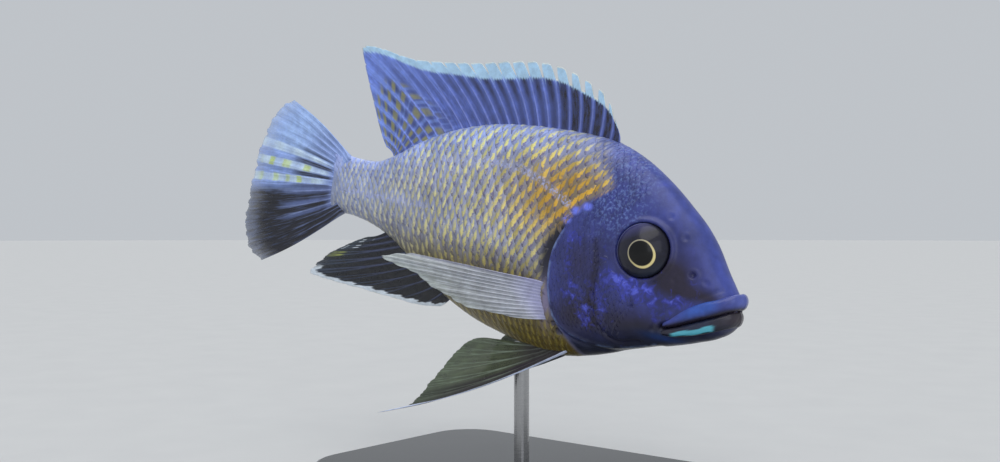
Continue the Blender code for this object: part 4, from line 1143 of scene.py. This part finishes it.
# %% [markdown]
# ## Materials
# A material here is a small tree of nodes. Each colour is written as the hex value that a colour
# picker shows, and one function turns it to the linear values that the renderer needs. Another adds
# a node with its settings and links. The fine patterns read Object coordinates, which are metres on
# the real fish, so a scale of 1000 gives a pattern of one cell a millimetre.

# %% Give the functions that build materials


def linear(hex_code):
    """An sRGB hex colour as linear red, green, blue and alpha."""
    values = [int(hex_code[i:i + 2], 16) / 255 for i in (1, 3, 5)]
    return tuple(v / 12.92 if v <= 0.04045 else ((v + 0.055) / 1.055) ** 2.4 for v in values) + (1.0,)


def fill(tree, node, inputs):
    """Links a node's inputs to the sockets given, and sets those that are given as values or colours."""
    for key, value in inputs.items():
        if isinstance(value, bpy.types.NodeSocket):
            tree.links.new(value, node.inputs[key])
        else:
            node.inputs[key].default_value = linear(value) if isinstance(value, str) else value


def add(tree, kind, inputs=(), out=0, **settings):
    """Adds a node with its settings, fills its inputs, and gives one of its outputs."""
    node = tree.nodes.new("ShaderNode" + kind)
    for name, value in settings.items():
        setattr(node, name, value)
    fill(tree, node, dict(inputs))
    return node.outputs[out]


def new_material(name, **fixed):
    """A material with an empty tree but for its shader, whose fixed values are set on its sockets."""
    material = bpy.data.materials.new(name)
    material.use_nodes = True
    shader = material.node_tree.nodes["Principled BSDF"]
    fill(material.node_tree, shader, {key.replace("_", " "): value for key, value in fixed.items()})
    return material, material.node_tree, shader


def painted(tree, colour, *layers):
    """Lays colours over each other. Each layer is a colour and one or more strengths, multiplied."""
    for over, strength, *more in layers:
        for factor in more:
            strength = add(tree, "Math", {0: strength, 1: factor}, operation="MULTIPLY")
        colour = add(tree, "Mix", {0: strength, 6: colour, 7: over}, out=2, data_type="RGBA")
    return colour


def shaded(tree, colour, pattern, low, high, darkest, lightest):
    """A colour made darker and lighter by a pattern whose values run from low to high."""
    gain = add(tree, "MapRange", {"Value": pattern, "From Min": low, "From Max": high, "To Min": darkest,
                                  "To Max": lightest})
    return add(tree, "VectorMath", {0: colour, "Scale": gain}, operation="SCALE")


# %% [markdown]
# ## The skin's material
# Living fish skin is a clear moist film over pigment cells and tiny mirrors. The pigment gives the
# violet and black, and the mirrors give blues that look brighter than paint. So the base is mixed
# from the markings, the blue patches get broken edges from a noise, and a thin clear coat over a
# slightly uneven surface gives the moist look. Some of the dark is painted shade: round the eye, in
# creases, behind the gill cover and in the gape. The lighter brow is partly a painted highlight.

# %% Mix the colours of the body, for skin and scales alike


def body_colours(tree):
    """The base colour that skin and scales share, with the sockets of the markings."""
    mark = {name: add(tree, "Attribute", out="Fac", attribute_name=name) for name in markings(
        np.array([0.5]), np.array([0.0]))}
    where = add(tree, "TexCoord", out="Object")
    # The next four patterns have cells of about 2.4, 8, 1.3 and 0.5 mm.
    mottle = add(tree, "TexNoise", {"Vector": where, "Scale": 420.0, "Detail": 5.0, "Roughness": 0.6})
    cloud = add(tree, "TexNoise", {"Vector": where, "Scale": 130.0, "Detail": 3.0, "Roughness": 0.5})
    veins = add(tree, "TexNoise", {"Vector": where, "Scale": 780.0, "Detail": 4.0, "Distortion": 0.8})
    specks = add(tree, "TexNoise", {"Vector": where, "Scale": 1900.0, "Detail": 2.0})
    upright = add(tree, "Mapping", {"Vector": where, "Scale": (520.0, 520.0, 110.0)})
    folds = add(tree, "TexNoise", {"Vector": upright, "Scale": 1.0, "Detail": 3.0})  # 2 mm wide, 9 mm tall
    spot_edge = add(tree, "Math", {0: mark["spots"], 1: 0.34, 2: veins}, operation="MULTIPLY_ADD")
    vein = add(tree, "MapRange", {"Value": spot_edge, "From Min": 0.66, "From Max": 0.90})
    vein_core = add(tree, "MapRange", {"Value": spot_edge, "From Min": 0.82, "From Max": 0.98})
    speck = add(tree, "MapRange", {"Value": specks, "From Min": 0.50, "From Max": 0.66})
    # The dark face patches are painted shade over the face's own dusky colour.
    # The lighter brow is partly its own colour and partly a painted highlight along the head's top outline.
    head = painted(tree, "#373F86", ("#251F36", mark["dark_face_and_shade"]), ("#2A2E40", mark["under"]),
                   ("#3F4C9C", mark["brow_and_highlight"]))
    head = shaded(tree, head, folds, 0.35, 0.65, 0.86, 1.10)
    head = painted(tree, head, ("#3A42BC", vein, 0.72), ("#6470E4", vein_core, 0.65),
                   ("#7088C8", speck, mark["flecks"], 0.62))
    colour = painted(tree, "#A2A8C8", ("#9CA8CC", mark["rear"]), ("#5C501A", mark["olive"]),
                     ("#A2B4F0", mark["lilac"]), ("#8A7440", mark["warm"], 0.85), (head, mark["head"]))
    colour = shaded(tree, colour, mottle, 0.30, 0.72, 0.78, 1.20)
    colour = shaded(tree, colour, cloud, 0.35, 0.65, 0.82, 1.12)
    faint = add(tree, "MapRange", {"Value": mottle, "From Min": 0.40, "From Max": 0.60, "To Max": 0.55})
    # Painted shade: the dark gape and mouth lining.
    # Painted shade: the dark line in the crease along the preopercle.
    # Painted shade: the near-black patch behind the gill cover's edge.
    colour = painted(tree, colour, ("#1A1730", mark["fold"], 0.55), ("#0C0B12", mark["patch"], 0.92),
                     ("#8C84A8", mark["fin_base"], 0.9),
                     ("#7F96C4", mark["rim"], faint), ("#24427C", mark["chin"], 0.7),
                     ("#2A1A20", mark["mouth"], 0.9), ("#7484FF", mark["shine"], 0.9))
    return colour, mark, where, mottle, cloud


# %% Make the moist skin
skin_look, tree, shader = new_material("moist_fish_skin", Roughness=0.42, IOR=1.38, Coat_Weight=0.30,
                                       Coat_Roughness=0.22)
colour, mark, where, mottle, cloud = body_colours(tree)
fine = add(tree, "TexNoise", {"Vector": where, "Scale": 3200.0, "Detail": 3.0})
grain = add(tree, "TexVoronoi", {"Vector": where, "Scale": 1500.0}, feature="SMOOTH_F1")
height = add(tree, "Math", {0: fine, 1: 0.5, 2: grain}, operation="MULTIPLY_ADD")
bump = add(tree, "Bump", {"Strength": 0.25, "Distance": 0.00008, "Height": height})
rough = add(tree, "MapRange", {"Value": mottle, "To Min": 0.34, "To Max": 0.56})
fill(tree, shader, {"Base Color": colour, "Roughness": rough, "Normal": bump})
skin.data.materials.append(skin_look)
print(len(tree.nodes), "nodes in the skin")

# %% [markdown]
# ## The scales' material
# Each scale of the flank carries one upright gold stroke on a slate or lilac ground, with a purple
# shadow in front of it. The stroke has its place on the scale, so it is drawn on the leaf's own map:
# x runs from root to margin and y across. Some scales are bright and others dull, and that
# unevenness is what makes the flank look grown, not printed.

# %% Make the gold-barred scales
BAR_AT = 0.745  # in leaf lengths, at the middle of what the next scales leave open
BAR_SLOPE = 0.77  # in leaf lengths a leaf width. At 0.79, each stroke meets those of the next rows.
BAR_HALF = 0.145
FRAY = 0.55  # how far the stroke's edges wander, in leaf lengths
STREAK_LEAN = 30  # degrees forwards of upright
scale_look, tree, shader = new_material("gold_barred_scale", Roughness=0.40, IOR=1.45, Coat_Weight=0.20,
                                        Coat_Roughness=0.25)
colour, mark, where, mottle, cloud = body_colours(tree)
leaf_map = add(tree, "UVMap", uv_map="leaf")
leaf_x = add(tree, "SeparateXYZ", {0: leaf_map}, out="X")
leaf_y = add(tree, "SeparateXYZ", {0: leaf_map}, out="Y")
tone = add(tree, "Attribute", out="Fac", attribute_name="tone")
wisps = add(tree, "TexNoise", {"Vector": where, "Scale": 2200.0, "Detail": 3.0, "Roughness": 0.6})  # 0.5 mm
drawn_out = add(tree, "Mapping", {"Vector": where, "Rotation": (0.0, math.radians(STREAK_LEAN), 0.0),
                                  "Scale": (0.6 * MM, 0.6 * MM, 2.6 * MM)}, vector_type="TEXTURE")
streaks = add(tree, "TexNoise", {"Vector": drawn_out, "Scale": 1.0, "Detail": 3.0, "Roughness": 0.55})
rough_edge = add(tree, "Math", {0: streaks, 1: wisps}, operation="ADD")
across = add(tree, "Math", {0: leaf_y, 1: 0.5}, operation="SUBTRACT")
aside = add(tree, "Math", {0: across, 1: across}, operation="MULTIPLY")
straight = add(tree, "Math", {0: 1.0, 1: aside}, operation="SUBTRACT")
straight = add(tree, "Math", {0: leaf_x, 1: straight}, operation="MULTIPLY")
ahead = add(tree, "Math", {0: across, 1: BAR_SLOPE, 2: straight}, operation="MULTIPLY_ADD")
ahead = add(tree, "Math", {0: ahead, 1: BAR_AT + FRAY}, operation="SUBTRACT")
frayed = add(tree, "Math", {0: rough_edge, 1: FRAY, 2: ahead}, operation="MULTIPLY_ADD")
off_bar = add(tree, "Math", {0: frayed}, operation="ABSOLUTE")
off_bar = add(tree, "Math", {0: aside, 1: 0.35, 2: off_bar}, operation="MULTIPLY_ADD")
off_bar = add(tree, "Math", {0: mark["warm"], 1: -0.07, 2: off_bar}, operation="MULTIPLY_ADD")
bar = add(tree, "MapRange", {"Value": off_bar, "From Min": BAR_HALF + 0.055, "From Max": BAR_HALF - 0.050})
extra = add(tree, "MapRange", {"Value": streaks, "From Min": 0.54, "From Max": 0.66, "To Max": 0.62})
bright = add(tree, "Math", {0: tone, 1: cloud}, operation="ADD")
shadow = add(tree, "MapRange", {"Value": frayed, "From Min": -0.16, "From Max": -0.22})
shadow_end = add(tree, "MapRange", {"Value": frayed, "From Min": -0.46, "From Max": -0.34})
gold = painted(tree, "#DCD48A", ("#E2E28C", mark["lilac"]), ("#D2A438", mark["warm"]),
               ("#847628", mark["olive"], 0.9), ("#CCCAB4", mark["rear"], 0.8))
gold = shaded(tree, gold, bright, 0.55, 1.30, 0.80, 1.14)
gold = shaded(tree, gold, wisps, 0.3, 0.7, 0.84, 1.14)
shade = painted(tree, "#66587E", ("#463C26", mark["olive"]))
colour = painted(tree, colour, (shade, shadow, shadow_end, mark["gold"], 0.70),
                 (gold, extra, mark["gold"]), (gold, bar, mark["gold"]))
broken = add(tree, "MapRange", {"Value": wisps, "From Min": 0.44, "From Max": 0.54, "To Max": 0.75})
colour = painted(tree, colour, ("#AEB8EC", broken, mark["lateral"]))
colour = shaded(tree, colour, tone, 0.0, 1.0, 0.88, 1.10)
rays = add(tree, "TexWave", {"Vector": leaf_map, "Scale": 9.0, "Distortion": 1.5, "Detail": 2.0},
           bands_direction="Y")
fine = add(tree, "TexNoise", {"Vector": where, "Scale": 2600.0, "Detail": 3.0})
height = add(tree, "Math", {0: rays, 1: 0.35, 2: fine}, operation="MULTIPLY_ADD")
bump = add(tree, "Bump", {"Strength": 0.30, "Distance": 0.00006, "Height": height})
rough = add(tree, "MapRange", {"Value": tone, "To Min": 0.32, "To Max": 0.50})
fill(tree, shader, {"Base Color": colour, "Roughness": rough, "Normal": bump})
for coat in flank_coats + head_coats:
    coat.data.materials.append(scale_look)
print(len(tree.nodes), "nodes in the scales")

# %% [markdown]
# ## The fins' materials
# A fin web is clear skin with pigment in it, so light comes through it and things behind it show a
# little. Its rays are bone, paler and denser. The pigment's places are on the fins' meshes already,
# and one function builds all five materials, because only their colours and clearness differ.

# %% Give a function that makes a fin's material


def fin_material(name, rays, low, high, ray_colour, ray_strength, **pigments):
    """A fin web of two colours from root to edge, with rays, and a colour for each of its pigments."""
    material, tree, shader = new_material(name, Roughness=0.45, IOR=1.38, Coat_Weight=0.20,
                                          Coat_Roughness=0.25)
    web_map = add(tree, "UVMap", uv_map="web")
    t = add(tree, "SeparateXYZ", {0: web_map}, out="Y")
    ray = add(tree, "Attribute", out="Fac", attribute_name="ray")
    where = add(tree, "TexCoord", out="Object")
    mottle = add(tree, "TexNoise", {"Vector": where, "Scale": 600.0, "Detail": 5.0, "Roughness": 0.65})
    stretch = add(tree, "Mapping", {"Vector": web_map, "Scale": (rays * 5.0, 6.0, 1.0)})
    streak = add(tree, "TexNoise", {"Vector": stretch, "Scale": 1.0, "Detail": 4.0})
    colour = painted(tree, low, (high, t))
    colour = shaded(tree, colour, streak, 0.35, 0.65, 0.72, 1.25)
    colour = painted(tree, colour, (ray_colour, ray, ray_strength))
    uneven = add(tree, "MapRange", {"Value": streak, "From Min": 0.35, "From Max": 0.60, "To Min": 0.66})
    for pigment, tint in pigments.items():
        strength = add(tree, "Attribute", out="Fac", attribute_name=pigment)
        colour = painted(tree, colour, (tint, strength, 1.0 if pigment == "white" else uneven))
    colour = shaded(tree, colour, mottle, 0.3, 0.7, 0.84, 1.14)
    solid = add(tree, "Attribute", out="Fac", attribute_name="solid")
    alpha = add(tree, "Math", {0: mottle, 1: 0.5}, operation="SUBTRACT")
    alpha = add(tree, "Math", {0: alpha, 1: 0.20, 2: solid}, operation="MULTIPLY_ADD", use_clamp=True)
    fine = add(tree, "TexNoise", {"Vector": where, "Scale": 2400.0, "Detail": 3.0})
    bump = add(tree, "Bump", {"Strength": 0.25, "Distance": 0.00006, "Height": fine})
    fill(tree, shader, {"Base Color": colour, "Alpha": alpha, "Normal": bump})
    return material


# %% Make the five fins' materials
dorsal_fin.data.materials.append(fin_material(
    "violet_fin_web", DORSAL_RAYS, "#5466B4", "#6880DC", "#98A4EC", 0.66,
    pale="#8AA8FF", dark="#120F28", yellow="#9C9A58", white="#BCE2FF", cream="#F4E8C8"))
# The tail fin's pale upper lobe and charcoal lower lobe are partly painted light and shade.
caudal_fin.data.materials.append(fin_material(
    "pale_blue_fin_web", CAUDAL_RAYS, "#8092D6", "#88A4E4", "#ACC0FA", 0.70,
    pale="#AECCFF", dark="#20212C", white="#D4EAFF", yellow="#C8DC78"))
anal_fin.data.materials.append(fin_material(
    "smoky_black_fin_web", ANAL_RAYS, "#0F1019", "#161B24", "#4C5474", 0.85,
    pale="#4A5860", white="#E4EEF8", yellow="#B4BC50"))
pelvic_look = fin_material(
    "smoky_olive_fin_web", PELVIC_RAYS, "#484A34", "#54624A", "#8E9C8C", 0.75,
    dark="#2A1E2C", white="#D4DEF8")
pectoral_look = fin_material(
    "clear_fin_web", PECTORAL_RAYS, "#C4C8DC", "#D2DAD6", "#E4E8F4", 0.9,
    dark="#7C7C8C", pale="#9C9CC8")
for fin in pelvic_fins:
    fin.data.materials.append(pelvic_look)
for fin in pectoral_fins:
    fin.data.materials.append(pectoral_look)
print("five fin materials")

# %% [markdown]
# ## The eyes' and lips' materials
# A cichlid's iris is charcoal with a thin gold ring round an egg-shaped pupil that points forwards.
# It is drawn on the eye's own map. The clear cornea over it is the shader's coat, so the model needs
# no second shell that would hide the iris in the export.

# %% Make the eye's material
PUPIL_SHIFT = (-0.07, 0.09, 0.0)  # the pupil lies 0.07 eye radii forwards and 0.09 down
RING_AT, RING_HALF = 0.430, 0.036
eye_look, tree, shader = new_material("glassy_eye", Roughness=0.30, IOR=1.34, Coat_Weight=0.35,
                                      Coat_Roughness=0.04, Coat_IOR=1.34)
eye_map = add(tree, "UVMap", uv_map="eye")
centred = add(tree, "Mapping", {"Vector": eye_map, "Location": (-1.0, -1.0, 0.0), "Scale": (2.0, 2.0, 1.0)})
pupil_map = add(tree, "Mapping", {"Vector": centred, "Location": PUPIL_SHIFT})
out_far = add(tree, "VectorMath", {0: centred}, out="Value", operation="LENGTH")
pupil_far = add(tree, "VectorMath", {0: pupil_map}, out="Value", operation="LENGTH")
low_front, up_back, behind = [
    add(tree, "VectorMath", {0: seen, 1: way}, out="Value", operation="DOT_PRODUCT") for seen, way in (
        (pupil_map, (0.80, -0.60, 0.0)), (centred, (-0.55, 0.83, 0.0)), (centred, (-0.93, 0.37, 0.0)))]
egg = add(tree, "MapRange", {"Value": low_front, "From Min": 0.10, "From Max": 0.50, "To Max": 0.055})
pupil_far = add(tree, "Math", {0: pupil_far, 1: egg}, operation="SUBTRACT")
where = add(tree, "TexCoord", out="Object")
flecks = add(tree, "TexNoise", {"Vector": where, "Scale": 1800.0, "Detail": 4.0})
haze = add(tree, "MapRange", {"Value": up_back, "From Min": 0.45, "From Max": 0.85})
low_haze = add(tree, "MapRange", {"Value": up_back, "From Min": -0.45, "From Max": -0.80})
ring_off = add(tree, "Math", {0: pupil_far, 1: RING_AT}, operation="SUBTRACT")
ring_off = add(tree, "Math", {0: ring_off}, operation="ABSOLUTE")
ring_half = add(tree, "MapRange", {"Value": low_front, "From Min": -0.4, "From Max": 0.45,
                                   "To Min": RING_HALF * 0.75, "To Max": RING_HALF * 1.35})
ring_off = add(tree, "Math", {0: ring_off, 1: ring_half}, operation="DIVIDE")
ring = add(tree, "MapRange", {"Value": ring_off, "From Min": 1.0, "From Max": 0.55})
gild = add(tree, "MapRange", {"Value": low_front, "From Min": -0.30, "From Max": 0.40})
ring_colour = painted(tree, "#A39C84", ("#F0DE9C", gild))
pupil = add(tree, "MapRange", {"Value": pupil_far, "From Min": RING_AT - 0.02, "From Max": RING_AT - 0.05})
limb = add(tree, "MapRange", {"Value": out_far, "From Min": 0.84, "From Max": 0.93})
arc = add(tree, "Math", {0: out_far, 1: 0.90}, operation="SUBTRACT")
arc = add(tree, "Math", {0: arc}, operation="ABSOLUTE")
arc = add(tree, "MapRange", {"Value": arc, "From Min": 0.028, "From Max": 0.008})
behind = add(tree, "MapRange", {"Value": behind, "From Min": 0.20, "From Max": 0.70})
iris = painted(tree, "#101018", ("#202036", flecks), ("#44447C", haze, 0.7), ("#2C3444", low_haze, 0.6),
               (ring_colour, ring), ("#020203", pupil), ("#0C0B14", limb), ("#8488C0", arc, behind, 0.7))
fill(tree, shader, {"Base Color": iris})
for eye in eyes:
    eye.data.materials.append(eye_look)
print(len(tree.nodes), "nodes in the eye")

# %% Make the lips' materials


def lip_material(name, low, high, tip, middle):
    """Smooth moist lip skin: two colours round it, one at its tip and one midway to the corner.
    The colour underneath is darker, as painted shade of the side that faces down.
    """
    material, tree, shader = new_material(name, Roughness=0.38, IOR=1.38, Coat_Weight=0.35,
                                          Coat_Roughness=0.20)
    where = add(tree, "TexCoord", out="Object")
    mottle = add(tree, "TexNoise", {"Vector": where, "Scale": 700.0, "Detail": 5.0})
    part = {mark: add(tree, "Attribute", out="Fac", attribute_name=mark)
            for mark in ("upward", "tip", "midway", "stripe")}
    colour = painted(tree, low, (high, part["upward"]), (middle, part["midway"], part["upward"]),
                     (tip, part["tip"], part["upward"]))
    colour = shaded(tree, colour, mottle, 0.3, 0.7, 0.80, 1.16)
    colour = painted(tree, colour, ("#5CB8CC", part["stripe"]))
    fine = add(tree, "TexNoise", {"Vector": where, "Scale": 2600.0, "Detail": 3.0})
    bump = add(tree, "Bump", {"Strength": 0.2, "Distance": 0.00006, "Height": fine})
    fill(tree, shader, {"Base Color": colour, "Normal": bump})
    return material


# The upper lip's underside is painted nearly black as shade over the gape, and its brighter blue midway along
# the top is partly a painted highlight.
lips[0].data.materials.append(lip_material("bright_blue_lip", "#1C1626", "#3A4694", "#5460AC", "#3456AC"))
lips[1].data.materials.append(lip_material("dark_lip", "#10142A", "#2A2838", "#342C36", "#262C46"))
print("lips", [lip.data.materials[0].name for lip in lips])

# %% [markdown]
# ## The stand
# The photo has no stand, but a display needs one. It is kept as plain as it can be: a polished
# block of black acrylic and a satin steel rod. Both solids are right as they are, so they stay and
# only get a material.

# %% Make black acrylic and turned steel
acrylic_look, tree, shader = new_material("black_acrylic", Roughness=0.12, IOR=1.49, Coat_Weight=0.0)
where = add(tree, "TexCoord", out="Object")
dust = add(tree, "TexNoise", {"Vector": where, "Scale": 900.0, "Detail": 6.0})
haze = add(tree, "TexNoise", {"Vector": where, "Scale": 45.0, "Detail": 3.0})
rough = add(tree, "MapRange", {"Value": haze, "To Min": 0.07, "To Max": 0.20})
colour = painted(tree, "#0B0B0D", ("#17171A", dust))
fill(tree, shader, {"Base Color": colour, "Roughness": rough})

steel_look, tree, shader = new_material("turned_stainless_steel", Metallic=1.0, Roughness=0.28)
where = add(tree, "TexCoord", out="Object")
rings = add(tree, "Mapping", {"Vector": where, "Scale": (200.0, 200.0, 9000.0)})
lathe = add(tree, "TexNoise", {"Vector": rings, "Scale": 1.0, "Detail": 3.0})
rough = add(tree, "MapRange", {"Value": lathe, "To Min": 0.20, "To Max": 0.38})
colour = painted(tree, "#9C9C9E", ("#B8B8B8", lathe))
bump = add(tree, "Bump", {"Strength": 0.15, "Distance": 0.00003, "Height": lathe})
fill(tree, shader, {"Base Color": colour, "Roughness": rough, "Normal": bump})


def dress(node, material):
    """Gives a kept solid a new material."""
    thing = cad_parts[node]
    thing.data.materials.clear()
    thing.data.materials.append(material)


dress("stand_base", acrylic_look)
dress("stand_rod", steel_look)

# %% [markdown]
# ## Floor and light
# A pale floor and large soft lights show form without drawing attention. The main light is a wide
# soft sun above, as over a tank, so the back is bright and the belly falls into shade.

# %% Lay the floor and hang the lights
floor_data, flat = made_by(bmesh.ops.create_circle, "floor", cap_ends=True, segments=96, radius=6.0)
floor_data.vertices.foreach_set("co", (flat - (0, 0, 0.1 * MM)).ravel())  # just under the stand
floor = linked("floor", floor_data)
floor_look, tree, shader = new_material("pale_matt_floor", Roughness=0.85)
where = add(tree, "TexCoord", out="Object")
soft = add(tree, "TexNoise", {"Vector": where, "Scale": 60.0, "Detail": 4.0})
colour = painted(tree, "#C6C7C8", ("#CECFCF", soft))
fill(tree, shader, {"Base Color": colour})
floor_data.materials.append(floor_look)

world = bpy.data.worlds.new("studio")
world.use_nodes = True
fill(world.node_tree, world.node_tree.nodes["Background"], {"Color": "#DDE2E8", "Strength": 0.72})
bpy.context.scene.world = world
bpy.context.scene.view_settings.view_transform = "Standard"  # shows the colours as they are written


def soft_light(name, at, power, tint, kind="AREA", **shape):
    """A light that faces the fish. A sun's shape is an angle, and a panel's is a size in metres."""
    lamp = bpy.data.lights.new(name, kind)
    for key, value in shape.items():
        setattr(lamp, key, value)
    lamp.energy = power
    lamp.color = linear(tint)[:3]
    thing = bpy.data.objects.new(name, lamp)
    thing.location = at
    aim = Vector((0, 0, 0.05)) - Vector(at)
    thing.rotation_euler = aim.to_track_quat("-Z", "Y").to_euler()
    bpy.context.scene.collection.objects.link(thing)


soft_light("sky_above", (0.10, -0.25, 0.75), 1.1, "#FFFDF8", "SUN", angle=math.radians(50))
soft_light("fill_front", (0.55, -0.55, 0.30), 0.8, "#F4F7FF", size=0.50)
soft_light("rim_behind", (-0.45, 0.45, 1.00), 0.45, "#F8FAFF", "SUN", angle=math.radians(40))

# %% [markdown]
# ## Put the pieces in place of the solids
# Every new piece rides on the model, and the solids that it stands for are hidden. The skin
# replaces all the solids of flesh at once. The scales lie on it and replace nothing.

# %% Tie the pieces to the solids
FLESH = ("head", "lower_jaw", "gill_cover_right", "gill_cover_left", "torso", "tail_stalk")


def hand_over(piece, slot, *nodes):
    """Rides a piece on the model and hides the solids that it stands for. slot is not used."""
    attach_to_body(piece, "root")
    if nodes:
        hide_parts(*nodes)


hand_over(skin, "blue_head_skin", *FLESH)
for n in range(2):
    hand_over(flank_coats[n], "scaled_flank")
    hand_over(head_coats[n], "blue_head_skin")
hand_over(dorsal_fin, "blue_fin", "dorsal_fin")
hand_over(caudal_fin, "blue_fin", "caudal_fin")
hand_over(anal_fin, "black_fin", "anal_fin")
for n, side in enumerate(("right", "left")):
    hand_over(pelvic_fins[n], "black_fin", "pelvic_fin_" + side)
    hand_over(pectoral_fins[n], "pale_fin", "pectoral_fin_" + side)
    hand_over(eyes[n], "eye", "eye_" + side)
hand_over(lips[0], "lip_skin", "upper_lip")
hand_over(lips[1], "lip_skin", "lower_lip")
